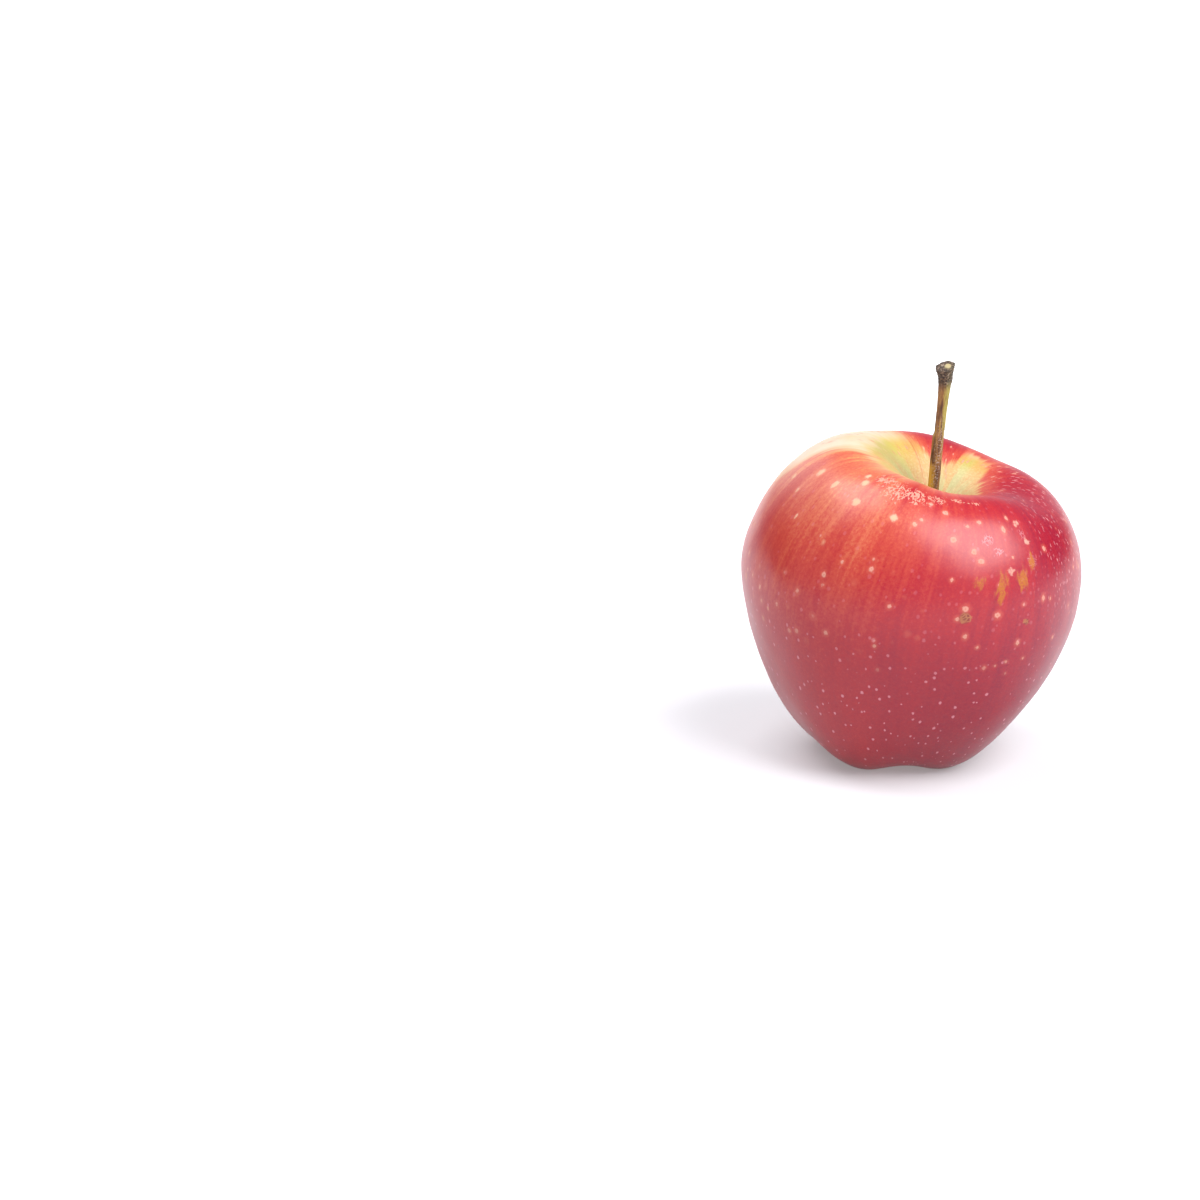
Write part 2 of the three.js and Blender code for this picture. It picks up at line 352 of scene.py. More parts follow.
azimuths = RIB_AZIMUTH + circle(FRUIT_COLUMNS)[0]
places = np.linspace(0, outline_length, FRUIT_ROWS)
radii, heights = outline_at(places)
skin = grown(radii[:, None], heights[:, None], azimuths[None, :])
outward = skin_normals(skin)
clear = smooth(skin[..., 2:], *CLEAR_HEIGHTS) * smooth(radii, *CLEAR_RADII)[:, None, None]
for wavelength, height, seed in SWELLINGS:
    skin = skin + outward * height * clear * swelling(skin, wavelength, seed)[..., None]

socket_floor = grown(SOCKET["radius"], heights[0] - SOCKET["depth"], azimuths)
eye_floor = grown(EYE["radius"], heights[-1] + EYE["depth"], azimuths)
fruit_points, fruit_faces = skin_over(np.concatenate([[socket_floor], skin, [eye_floor]]))
print("fruit:", len(fruit_points), "points,", len(fruit_faces), "faces")


# %% [markdown]
# ## Where the red begins
# The skin's own pale colour shows wherever the sun did not reach: in the hollow, in the basin and on one
# cheek at the back. The red is a blush over it. Its upper edge is given at a few azimuths, as a distance
# down the skin from the stem, and the streaks of the finish fray it later.

# %% Blush plan
RED_STARTS = [  # azimuth in degrees, millimetres from the stem
    (0, 12.6), (18, 14), (30, 16.3), (39, 18), (46, 20.5), (53, 22.5), (60, 22), (65, 17.5),
    (70, 15.5), (78, 14.5), (97, 15), (104, 16.5), (109, 18.5), (113, 24), (119, 33), (126, 42),
    (136, 52), (150, 55), (158, 50), (165, 44), (176, 40), (179, 35), (183, 29.6), (186, 25),
    (190, 22.4), (197, 20.6), (210, 20), (240, 19.5), (256, 18.5), (275, 16.5), (300, 14.5), (330, 13),
]  # fmt: skip
RED_ENDS = 113.0  # millimetres from the stem, just inside the basin
CHEEK = dict(azimuth=143, spread=22, softness=2.2)  # degrees, and how much further the red frays
HALF_TURN = 180


def around(table, degrees):
    """Reads a table of (azimuth, value) at these azimuths, right round the fruit."""
    table = np.array(table, dtype=float)
    return np.interp(degrees % 360, table[:, 0], table[:, 1], period=360)


def apart(degrees, centre):
    """How many degrees each azimuth is from another, from -180 to 180."""
    return (degrees - centre + HALF_TURN) % 360 - HALF_TURN


degrees = np.broadcast_to(np.degrees(azimuths)[None, :], skin.shape[:2])
down = np.broadcast_to(places[:, None], skin.shape[:2])
# Where the edge runs steeply, the skin is nearer to it sideways than straight down.
edge = around(RED_STARTS, degrees)
edge_slope = (around(RED_STARTS, degrees + 1) - around(RED_STARTS, degrees - 1)) / 2 / math.radians(1)
edge_slope = edge_slope / np.maximum(radii[:, None], 1)
into_red = np.minimum((down - edge) / np.hypot(1, edge_slope), RED_ENDS - down)
into_red = into_red / (1 + CHEEK["softness"] * bell(apart(degrees, CHEEK["azimuth"]), CHEEK["spread"]))
print("share of the skin that is red:", round(float((into_red > 0).mean()), 2))


# %% [markdown]
# ## Marks of growing
# Some marks are this one fruit's own: russet over the front lip of the hollow, pale flecks and fine cracks
# down the right, four orange-brown scars and two scabs. Each is given by its place and reach on the skin.
# The finish breaks them up into flecks and cracks, so a soft patch is all that the plan needs. The largest
# lenticels of the front are placed one by one too, and the finish scatters the others where these are not.

# %% Marks
# Azimuth in degrees, millimetres from the stem, and half the patch's width and length in millimetres.
RUSSET_FLECKS = [
    (231, 26.4, 2.4, 2.0), (241, 28.2, 3.4, 3.2), (251, 27.6, 3.0, 2.4), (261, 26.4, 2.4, 1.3),
    (274, 24.6, 2.0, 0.8), (286, 25.0, 1.5, 0.7),
]  # fmt: skip
PALE_FLECKS = [
    (304.5, 31.0, 0.85, 1.0), (306.5, 35.4, 0.85, 0.9), (297, 41.8, 0.8, 1.2), (302, 44.2, 0.4, 0.4),
]  # fmt: skip
CRACKS = [
    (287.5, 35.3, 1.7, 1.8), (291.5, 37.8, 1.5, 1.2), (305.5, 33.2, 1.0, 1.6), (307.5, 40.2, 1.5, 2.2),
]  # fmt: skip
SCARS = [(284.5, 45.5, 0.9, 1.3), (293.2, 46.4, 1.1, 2.8), (302, 44.2, 1.1, 2.2), (307.2, 40.3, 0.8, 1.7)]
SCABS = [(281.5, 53.6, 1.5, 1.6), (305, 54.3, 0.9, 0.9)]
PORES = [  # the placed lenticels, in the same way
    (185, 39.0, 0.6, 0.9), (196, 40.0, 0.5, 0.7), (198, 34.0, 0.8, 1.2), (207, 44.0, 0.5, 0.7),
    (212, 34.0, 0.7, 1.2), (221, 28.0, 0.6, 0.9), (224, 30.0, 0.8, 1.0), (228, 35.0, 0.9, 1.0),
    (246, 35.0, 0.9, 0.9), (255, 35.0, 0.6, 0.6), (257, 33.5, 0.5, 0.5), (259, 28.5, 0.6, 0.5),
    (267, 30.0, 0.7, 0.7), (272, 36.5, 0.8, 0.8), (278, 32.5, 0.5, 0.5), (281, 38.5, 0.7, 0.8),
    (284, 40.5, 0.8, 0.7), (284, 31.0, 0.6, 0.6), (296, 32.5, 0.6, 0.9), (300, 29.5, 0.4, 0.7),
    (316, 37.5, 0.6, 0.7), (298, 39.0, 0.4, 0.4), (274, 45.5, 0.5, 0.5), (292, 45.5, 0.5, 0.5),
    (281, 51.5, 0.8, 0.8), (279, 54.0, 0.6, 0.6), (293, 52.5, 0.8, 0.8), (303, 50.0, 0.5, 0.5),
    (312, 49.0, 0.6, 0.8), (316, 49.5, 0.4, 0.5), (283, 58.0, 0.6, 0.7), (303, 59.5, 0.6, 0.8),
    (288, 60.5, 0.5, 0.5), (321, 60.0, 0.5, 0.6), (307, 64.0, 0.5, 0.5), (292, 66.0, 0.6, 0.7),
    (296, 65.5, 0.5, 0.4), (300, 64.5, 0.6, 0.5), (301, 68.0, 0.5, 0.5),
]  # fmt: skip
TERRITORY = 6.0  # millimetres round a placed lenticel, where no scattered one lies
FARTHEST = 3.0  # lenticel sizes away, past which it makes no difference how far a lenticel is


def nearest(marks):
    """The square of how far each point is from the nearest mark's middle, as a share of its size."""
    square = np.full(skin.shape[:2], np.inf)
    for azimuth, place, half_width, half_length in marks:
        across = np.radians(apart(degrees, azimuth)) * radii[:, None] / half_width
        square = np.minimum(square, across**2 + ((down - place) / half_length) ** 2)
    return square


def patch(marks):
    """1 in the middle of each mark, falling off softly to 0 round it."""
    return np.exp(-nearest(marks))


marks = {
    "pores": np.minimum(nearest(PORES), FARTHEST**2),
    "territory": patch([(azimuth, place, TERRITORY, TERRITORY) for azimuth, place, *_ in PORES]),
    "russet_flecks": patch(RUSSET_FLECKS),
    "pale_flecks": patch(PALE_FLECKS),
    "cracks": patch(CRACKS),
    "scars": patch(SCARS),
    "scabs": patch(SCABS),
}
print("strongest point of each kind of mark:", {kind: round(float(m.max()), 2) for kind, m in marks.items()})


# %% [markdown]
# ## Apple skin: the colours
# The finish of an apple is living skin: pigment under a thin coat of its own wax. The pigment is not one
# red. Under it lies the skin's own colour, cream on a shaded cheek and yellow deep in the hollow. The red
# over it runs in streaks from the stem to the basin, orange where the blush is thin and crimson where it
# is deep. Every pattern is drawn in the skin's own coordinates, which the mesh carries on its points, so
# that it runs with the fruit and has its real size everywhere. The eye reads the streaks as growth and the
# mottle between them as depth under the wax.

# %% Ground and blush
STREAK_STRETCH = (1, 1, 0.07)  # a streak is about 14 times as long as it is wide
BROAD_STREAK = 4.2  # millimetres across, as are the next five
FINE_STREAK = 1.1
TINGE_STREAK = 1.8
CLOUD = 7
MOTTLE = 0.7
HOLLOW_GRAIN = 0.5
FRAY = dict(broad=5, fine=2.5, tinge=5)  # millimetres from the deepest bay of an edge to its longest tongue
SWING = dict(broad=0.48, fine=0.32, mottle=0.5)  # how far each swings the depth of the red, least to most
RED_EDGE = (-0.7, 1.3)  # millimetres into the red, where it begins to show and where it shows fully
TINGE_EDGE = (-4, 0.8)
TINGE_DEEPER = 1.2  # millimetres that the tinge reaches further on the floor of the hollow
LOW_STREAKS = 0.35  # share of the streaks that is left low on the fruit
FLESH = "#c9af99"
# How much each of these layers covers where it lies, and its colour.
GROUND = dict(yellow=(1.0, "#a29249"), tan=(1.0, "#a29a6a"), green=(0.4, "#c4b448"))
GROUND.update(orange=(0.65, "#bb8049"), crumbs=(0.35, "#c0b98a"))
REDS = [(0.0, "#bd824e"), (0.17, "#b55c40"), (0.36, "#a83b2e"), (0.6, "#981923"), (1.0, "#770628")]


def fill_ramp(ramp, stops):
    """Sets a colour ramp's stops from (position, hex colour) pairs."""
    while len(ramp.elements) < len(stops):
        ramp.elements.new(1.0)
    for element, (position, colour) in zip(ramp.elements, stops):
        element.position = position
        element.color = linear(colour)


def streaks(tree, place, width_mm, detail):
    """Noise drawn out along the meridians, from -0.5 to 0.5."""
    drawn_out = add(tree, "VectorMath", {0: place, 1: STREAK_STRETCH}, operation="MULTIPLY")
    noise = add(tree, "TexNoise", {"Vector": drawn_out, "Scale": repeats(width_mm), "Detail": detail})
    return add(tree, "Math", {0: noise, 1: 0.5}, operation="SUBTRACT")


def ground_colour(tree, place):
    """Cream skin, yellow in the hollow and tan in its depth, with an orange tinge before the red begins."""
    hollow = add(tree, "Attribute", out="Fac", attribute_name="hollow")
    green = add(tree, "Attribute", out="Fac", attribute_name="green")
    cloud = add(tree, "TexNoise", {"Vector": place, "Scale": repeats(CLOUD), "Detail": 3})
    yellow = add(tree, "Math", {0: hollow, 1: 2.0, 2: cloud}, operation="MULTIPLY_ADD")
    yellow = add(tree, "MapRange", {0: yellow, 1: 0.35, 2: 1.3}, interpolation_type="SMOOTHSTEP")
    tan = add(tree, "MapRange", {0: hollow, 1: 0.55, 2: 1.0})

    # The tinge begins a few millimetres before the red does, a little more down in the hollow.
    into = add(tree, "Attribute", out="Fac", attribute_name="into_red")
    tinge = add(tree, "Math", {0: hollow, 1: TINGE_DEEPER, 2: into}, operation="MULTIPLY_ADD")
    streak = streaks(tree, place, TINGE_STREAK, 3)
    tinge = add(tree, "Math", {0: streak, 1: FRAY["tinge"], 2: tinge}, operation="MULTIPLY_ADD")
    tinge = {0: tinge, 1: TINGE_EDGE[0], 2: TINGE_EDGE[1]}
    tinge = add(tree, "MapRange", tinge, interpolation_type="SMOOTHSTEP")

    # The hollow is finely speckled. Its walls are steep, so the specks are spaced in the fruit's own room.
    crumbs = {"Vector": add(tree, "TexCoord", out="Object"), "Scale": repeats(HOLLOW_GRAIN)}
    crumbs = add(tree, "TexNoise", {**crumbs, "Detail": 3, "Roughness": 0.65})
    crumbs = add(tree, "MapRange", {0: crumbs, 1: 0.4, 2: 0.7}, interpolation_type="SMOOTHSTEP")
    crumbs = add(tree, "Math", {0: crumbs, 1: hollow}, operation="MULTIPLY")
    layers = [
        (yellow, *GROUND["yellow"]),
        (tan, *GROUND["tan"]),
        (green, *GROUND["green"]),
        (tinge, *GROUND["orange"]),
        (crumbs, *GROUND["crumbs"]),
    ]
    return laid_over(tree, linear(FLESH), layers)


def blushed_colour(tree, place, ground, lowness):
    """The red over the ground, with a frayed upper edge. Streaks show most on the shoulders."""
    into = add(tree, "Attribute", out="Fac", attribute_name="into_red")
    depth = add(tree, "Attribute", out="Fac", attribute_name="depth")
    broad = streaks(tree, place, BROAD_STREAK, 3)
    fine = streaks(tree, place, FINE_STREAK, 2)
    mottle = {"Vector": place, "Scale": repeats(MOTTLE), "Detail": 3, "Roughness": 0.7}
    mottle = add(tree, "TexNoise", mottle)
    streak_share = add(tree, "MapRange", {0: lowness, 3: 1.0, 4: LOW_STREAKS})
    streak = add(tree, "Math", {0: broad, 1: SWING["broad"]}, operation="MULTIPLY")
    streak = add(tree, "Math", {0: fine, 1: SWING["fine"], 2: streak}, operation="MULTIPLY_ADD")
    redness = add(tree, "Math", {0: streak, 1: streak_share, 2: depth}, operation="MULTIPLY_ADD")
    mottle = add(tree, "Math", {0: mottle, 1: 0.5}, operation="SUBTRACT")
    redness = add(tree, "Math", {0: mottle, 1: SWING["mottle"], 2: redness}, operation="MULTIPLY_ADD")
    reds = add(tree, "ValToRGB", {0: redness})
    fill_ramp(reds.node.color_ramp, REDS)

    frayed = add(tree, "Math", {0: broad, 1: FRAY["broad"], 2: into}, operation="MULTIPLY_ADD")
    frayed = add(tree, "Math", {0: fine, 1: FRAY["fine"], 2: frayed}, operation="MULTIPLY_ADD")
    blush = {0: frayed, 1: RED_EDGE[0], 2: RED_EDGE[1]}
    blush = add(tree, "MapRange", blush, interpolation_type="SMOOTHSTEP")
    return add(tree, "Mix", {0: blush, BELOW: ground, OVER: reds}, MIXED, data_type="RGBA")


print("streaks:", BROAD_STREAK, "and", FINE_STREAK, "mm wide,", round(1 / STREAK_STRETCH[2]), "times longer")


# %% [markdown]
# ## Apple skin: lenticels
# The pale dots are lenticels, through which the fruit breathes. There are few new ones as it grows, so
# they end up large and far apart on the shoulders, and small and close below. Where the red is thin they
# are cream, and just outside the hollow they are drawn out into dashes. They tell the eye how large the
# fruit is. A Voronoi texture in space scatters them: wherever one of its random middles lies close to the
# skin, the skin cuts a dot out of the ball round it, so the dots differ in size as real ones do.

# %% Lenticels
# Spacings are those of the middles in space. Most balls miss the skin, so the dots are twice as far apart.
SHADE_LENTICELS = dict(spacing=3.6, radius=0.95, stretch=(1, 1, 0.85))
LARGE_LENTICELS = dict(spacing=3.7, radius=0.8, stretch=(1, 1, 0.95))
SMALL_LENTICELS = dict(spacing=2.1, radius=0.56, stretch=(1, 1, 0.85))
DASHES = dict(spacing=0.9, radius=0.3, stretch=(1, 1, 0.42))
RAGGEDNESS = 0.65  # how far a dot's edge wanders, as a share of its radius
EDGE_WAVE = 0.9  # how long the waves of that edge are, as a share of it too
SMALLEST_DOT = 0.5  # share of the largest one's radius
# The edge of a placed lenticel: its waves in millimetres, the noise that leaves it in its place, and how far
# any other noise moves it, as a share of the lenticel's size.
PORE_EDGE = dict(wave=0.6, level=0.7, wander=0.8)
KEEP_OFF = 4  # lenticel sizes by which a placed lenticel pushes the scattered ones away
THIN_RED = (0.42, 0.3)  # depths of the red at which the cream lenticels are gone, and are full
HIGH_SKIN = (0.9, 0.3)  # lowness of the skin where the large lenticels are gone, and where they are full
LOW_ENOUGH = (0.1, 1.0)  # lowness of the skin where the small ones have these shares of their strength
SMALL_SHARES = (0.2, 0.95)
# How many dot sizes from the middle each of these begins to show and shows fully.
REACHES = dict(halo=(2.1, 0.8), large=(1.0, 0.5), core=(0.45, 0.2))
REACHES.update(shaded=(1.2, 0.0), small=(1.0, 0.5), dash=(1.0, 0.5))
# How much each of these covers, and its colour.
LENTICELS = dict(halo=(0.28, "#b8604a"), large=(0.75, "#bf8a7a"), core=(0.75, "#a8694f"))
LENTICELS.update(small=(1.0, "#b9707a"), shaded=(0.8, "#c8a07c"), dash=(1.0, "#be8082"))


def dots(tree, place, spacing, radius, stretch):
    """How far each place is from the nearest dot's middle, as a share of that dot's radius."""
    ragged = {"Vector": place, "Scale": repeats(EDGE_WAVE * radius), "Detail": 2}
    ragged = add(tree, "TexNoise", ragged, out="Color")
    swing = RAGGEDNESS * radius * MM
    bent = {0: ragged, 1: (swing, swing, swing), 2: place}
    bent = add(tree, "VectorMath", bent, operation="MULTIPLY_ADD")
    drawn_out = add(tree, "VectorMath", {0: bent, 1: stretch}, operation="MULTIPLY")
    cells = add(tree, "TexVoronoi", {"Vector": drawn_out, "Scale": repeats(spacing)})
    chance = add(tree, "SeparateColor", {0: cells.node.outputs["Color"]})
    largest = radius / spacing
    size = add(tree, "MapRange", {0: chance, 3: SMALLEST_DOT * largest, 4: largest})
    return add(tree, "Math", {0: cells, 1: size}, operation="DIVIDE")


def lenticel_layers(tree, place, lowness):
    """The layers of the lenticels, and where the large ones leave bare cork."""
    # Placed ones keep the scattered ones away, and their edges wander too. The mesh carries the square of
    # the distance, because a square stays rounder than a cone when it is read between its points.
    wander = add(tree, "TexNoise", {"Vector": place, "Scale": repeats(PORE_EDGE["wave"]), "Detail": 2})
    wander = add(tree, "Math", {0: wander, 1: PORE_EDGE["level"]}, operation="SUBTRACT")
    placed = add(tree, "Attribute", out="Fac", attribute_name="pores")
    placed = add(tree, "Math", {0: placed}, operation="SQRT")
    placed = {0: wander, 1: PORE_EDGE["wander"], 2: placed}
    placed = add(tree, "Math", placed, operation="MULTIPLY_ADD")
    territory = add(tree, "Attribute", out="Fac", attribute_name="territory")
    offsets = {}
    for kind, sizes in (("large", LARGE_LENTICELS), ("shaded", SHADE_LENTICELS)):
        scattered = dots(tree, place, **sizes)
        scattered = {0: territory, 1: KEEP_OFF, 2: scattered}
        scattered = add(tree, "Math", scattered, operation="MULTIPLY_ADD")
        offsets[kind] = add(tree, "Math", {0: scattered, 1: placed}, operation="MINIMUM")

    offsets["small"] = dots(tree, place, **SMALL_LENTICELS)
    offsets["dash"] = dots(tree, place, **DASHES)
    offsets.update(halo=offsets["large"], core=offsets["large"])
    shown = {}
    for kind, (start, full) in REACHES.items():
        dot = {0: offsets[kind], 1: start, 2: full}
        shown[kind] = add(tree, "MapRange", dot, interpolation_type="SMOOTHSTEP")

    # The large ones fade out below the belly, where the small ones take over. Cream ones sit in thin red.
    depth = add(tree, "Attribute", out="Fac", attribute_name="depth")
    thin_red = {0: depth, 1: THIN_RED[0], 2: THIN_RED[1]}
    thin_red = add(tree, "MapRange", thin_red, interpolation_type="SMOOTHSTEP")
    highness = add(tree, "MapRange", {0: lowness, 1: HIGH_SKIN[0], 2: HIGH_SKIN[1]})
    low = {0: lowness, 1: LOW_ENOUGH[0], 2: LOW_ENOUGH[1], 3: SMALL_SHARES[0], 4: SMALL_SHARES[1]}
    masks = {
        "halo": highness,
        "large": highness,
        "core": highness,
        "small": add(tree, "MapRange", low),
        "shaded": add(tree, "Math", {0: thin_red, 1: highness}, operation="MULTIPLY"),
        "dash": add(tree, "Attribute", out="Fac", attribute_name="dashes"),
    }
    for kind, mask in masks.items():
        shown[kind] = add(tree, "Math", {0: shown[kind], 1: mask}, operation="MULTIPLY")
    return [(shown[kind], *LENTICELS[kind]) for kind in masks], shown["large"]


print("large lenticels are up to", 2 * LARGE_LENTICELS["radius"], "mm across")


# %% [markdown]
# ## Apple skin: marks
# Russet is cork that the skin grew where it once cracked or was rubbed. It is dry and pale on the front lip,
# where it forms small coral-like flecks, and it closes old wounds as orange-brown scars. Noise and the
# edges of Voronoi cells break each soft patch into such flecks and cracks.

# %% Marks in the skin
FLECK_SIZE = 1.1  # millimetres, as are the next five
CORAL_SIZE = 1.0
WEAR_SIZE = 1.2
CRACK = dict(spacing=0.9, width=0.14)
SCAB = dict(spacing=0.8, width=0.27)
CRACK_BEND = dict(size=1.5, reach=0.6)
SCAR_STRETCH = (1, 1, 0.4)
FLECK_GATHER = 0.36  # how much a patch adds to the noise that makes flecks of it
CORAL_THREAD = (0.1, 0.04)  # how far from its middle a noise is at the edge of a thread, and inside it
WORN_SCAR = (0.36, 0.54, 0.45)  # noise where a scar is worn and where it is whole, and what wear leaves
# Noise at which the flecks of each kind begin and are full.
CORAL_FLECKS = (0.66, 0.72)
PALE_LEVELS = (0.6, 0.86)
SCAR_LEVELS = (0.52, 0.74)
# How much each of these layers covers, and its colour.
MARKS = dict(russet=(0.85, "#be8674"), crack=(0.45, "#bd8b92"), pale=(0.85, "#b88a7a"))
MARKS.update(scar=(1.0, "#9a520a"), crust=(0.75, "#54281a"), scab=(0.85, "#985c3c"))


def flecks(tree, place, name, low, high):
    """Ragged flecks where noise and the patch of this name together are high."""
    near = add(tree, "Attribute", out="Fac", attribute_name=name)
    noise = {"Vector": place, "Scale": repeats(FLECK_SIZE), "Detail": 4, "Roughness": 0.62}
    level = {0: near, 1: FLECK_GATHER, 2: add(tree, "TexNoise", noise)}
    level = add(tree, "Math", level, operation="MULTIPLY_ADD")
    level = add(tree, "MapRange", {0: level, 1: low, 2: high}, interpolation_type="SMOOTHSTEP")
    inside = add(tree, "MapRange", {0: near, 1: 0.02, 2: 0.15})
    return add(tree, "Math", {0: level, 1: inside}, operation="MULTIPLY")


def coral(tree, place, name):
    """Thin branching flecks: the places where one noise is close to its middle and another is high."""
    winding = add(tree, "TexNoise", {"Vector": place, "Scale": repeats(CORAL_SIZE), "Detail": 1})
    off_middle = add(tree, "Math", {0: winding, 1: 0.5}, operation="SUBTRACT")
    off_middle = add(tree, "Math", {0: off_middle}, operation="ABSOLUTE")
    thread = {0: off_middle, 1: CORAL_THREAD[0], 2: CORAL_THREAD[1]}
    thread = add(tree, "MapRange", thread, interpolation_type="SMOOTHSTEP")
    thread = {0: thread, 1: flecks(tree, place, name, *CORAL_FLECKS)}
    return add(tree, "Math", thread, operation="MULTIPLY")


def cracks(tree, place, name, spacing, width):
    """A net of thin lines inside the patch of this name."""
    bend = {"Vector": place, "Scale": repeats(CRACK_BEND["size"]), "Detail": 2}
    reach = CRACK_BEND["reach"] * MM
    bent = {0: add(tree, "TexNoise", bend, out="Color"), 1: (reach, reach, reach), 2: place}
    bent = add(tree, "VectorMath", bent, operation="MULTIPLY_ADD")
    net = {"Vector": bent, "Scale": repeats(spacing)}
    net = add(tree, "TexVoronoi", net, feature="DISTANCE_TO_EDGE")
    line = add(tree, "MapRange", {0: net, 1: width / spacing, 2: 0.2 * width / spacing})
    worn = add(tree, "TexNoise", {"Vector": place, "Scale": repeats(WEAR_SIZE), "Detail": 2})
    near = add(tree, "Attribute", out="Fac", attribute_name=name)
    inside = add(tree, "Math", {0: near, 1: 0.8, 2: worn}, operation="MULTIPLY_ADD")
    inside = add(tree, "MapRange", {0: inside, 1: 0.8, 2: 1.1}, interpolation_type="SMOOTHSTEP")
    return add(tree, "Math", {0: line, 1: inside}, operation="MULTIPLY")


def mark_layers(tree, place, grain):
    """The layers of the marks, and the ones among them that are bare cork."""
    russet = coral(tree, place, "russet_flecks")
    pale = flecks(tree, place, "pale_flecks", *PALE_LEVELS)
    crack = cracks(tree, place, "cracks", **CRACK)
    scab = cracks(tree, place, "scabs", **SCAB)
    crust = add(tree, "Attribute", out="Fac", attribute_name="scabs")
    crust = add(tree, "MapRange", {0: crust, 1: 0.35, 2: 0.75})

    # A scar runs with the streaks, and red shows through where it is worn.
    drawn_out = add(tree, "VectorMath", {0: place, 1: SCAR_STRETCH}, operation="MULTIPLY")
    scar = flecks(tree, drawn_out, "scars", *SCAR_LEVELS)
    worn = add(tree, "MapRange", {0: grain, 1: WORN_SCAR[0], 2: WORN_SCAR[1], 3: WORN_SCAR[2]})
    scar = add(tree, "Math", {0: scar, 1: worn}, operation="MULTIPLY")
    layers = [
        (russet, *MARKS["russet"]),
        (crack, *MARKS["crack"]),
        (pale, *MARKS["pale"]),
        (scar, *MARKS["scar"]),
        (crust, *MARKS["crust"]),
        (scab, *MARKS["scab"]),
    ]
    return layers, [russet, scar, scab]


print("the cracks of a scab are about", SCAB["spacing"], "mm apart")


# %% [markdown]
# ## Apple skin: the whole finish
# Wax makes the skin smooth and evenly glossy, with the refraction of other plant waxes. Reflections are
# clear but soft-edged, because the skin under the wax is finely dimpled. Lenticels and russet have no wax,
# so they are duller, and they stand a few hundredths of a millimetre proud. The layers go on in the order
# in which they lie on the fruit.

# %% Skin finish
WAX_IOR = 1.47
WAX_ROUGHNESS = 0.34
CORK_ROUGHNESS = 0.6
GRAIN = 0.5  # millimetres, as are the next two
DIMPLE = dict(size=0.6, height=0.011)
CORK_HEIGHT = 0.03
BLOOM = (0.08, "#b8716c")  # how much it covers, and its colour


def skin_finish():
    """Returns the material of the fruit."""
    material, tree = new_material("apple skin, waxy")
    place = add(tree, "Attribute", out="Vector", attribute_name="skin_place")
    lowness = add(tree, "Attribute", out="Fac", attribute_name="lowness")
    colour = blushed_colour(tree, place, ground_colour(tree, place), lowness)

    # The waxy bloom is uneven, which makes the skin look finely grained.
    grain = {"Vector": place, "Scale": repeats(GRAIN), "Detail": 2, "Roughness": 0.7}
    grain = add(tree, "TexNoise", grain)
    bloom = add(tree, "MapRange", {0: grain, 1: 0.5, 2: 0.8}, interpolation_type="SMOOTHSTEP")
    dotted, cork = lenticel_layers(tree, place, lowness)
    marked, bare = mark_layers(tree, place, grain)
    colour = laid_over(tree, colour, [(bloom, *BLOOM), *dotted, *marked])

    # Cork is whatever has no wax. It is duller and stands proud.
    for share in bare:
        cork = add(tree, "Math", {0: cork, 1: share}, operation="MAXIMUM")
    hollow = add(tree, "Attribute", out="Fac", attribute_name="hollow")
    waxless = add(tree, "MapRange", {0: hollow, 1: 0.6, 2: 1.0})
    roughness = add(tree, "Math", {0: cork, 1: waxless}, operation="MAXIMUM")
    roughness = add(tree, "MapRange", {0: roughness, 3: WAX_ROUGHNESS, 4: CORK_ROUGHNESS})
    dimples = add(tree, "TexNoise", {"Vector": place, "Scale": repeats(DIMPLE["size"]), "Detail": 2})
    height = add(tree, "Math", {0: dimples, 1: DIMPLE["height"] * MM}, operation="MULTIPLY")
    height = add(tree, "Math", {0: cork, 1: CORK_HEIGHT * MM, 2: height}, operation="MULTIPLY_ADD")
    relief = add(tree, "Bump", {"Strength": 1.0, "Distance": 1.0, "Height": height})
    wax = {"Base Color": colour, "Roughness": roughness, "IOR": WAX_IOR, "Normal": relief}
    add(tree, "OutputMaterial", {"Surface": add(tree, "BsdfPrincipled", wax)})
    return material


skin_material = skin_finish()
print("skin finish:", len(skin_material.node_tree.nodes), "nodes")


# %% [markdown]
# ## What each point of the skin knows
# The finish is the same recipe everywhere. What differs from place to place is noted on the points: how
# deep the red is, how far down the hollow they lie, where the green tinge at the foot of the cheek is, how
# low on the fruit they are, and where the dashes run. The red is deepest on the side that the sun reached.
# It thins along its upper edge, and darkens again towards the basin and in a flush under the russet.

# %% Plan of the skin
RED_DEPTHS = [  # azimuth in degrees, share of the deepest red
    (0, 0.72), (30, 0.68), (60, 0.7), (88, 0.72), (115, 0.6), (150, 0.4), (180, 0.26), (215, 0.24),
    (235, 0.23), (250, 0.3), (262, 0.45), (278, 0.57), (295, 0.66), (310, 0.74), (325, 0.82), (342, 0.78),
]  # fmt: skip
FLUSH = dict(azimuth=251, spread=15, place=26, length=4.5)  # degrees, then millimetres from the stem
FLUSH_DEPTH = 0.2
GREEN_TINGE = dict(azimuth=129, spread=19, place=17, length=6)
DASH_SIDE = dict(azimuth=352, spread=38)  # degrees

# Pairs of millimetres from the stem: where something has not begun or is gone, and where it is full.
RIPER_BELOW = (30, 74)
HOLLOW = (25, 11)
LOW_SKIN = (52, 78)
DASHES_BEGIN = (15, 19)
DASHES_END = (62, 40)
RIPENING = 0.544  # how much of what the red lacks it gains towards the basin
THIN_EDGE = dict(share=0.45, reach=9)  # share of its depth at its very edge, and millimetres to all of it


def spot(plan):
    """1 at this place on the skin, falling off softly to 0 round it."""
    across = bell(apart(degrees, plan["azimuth"]), plan["spread"])
    return across * bell(down - plan["place"], plan["length"])


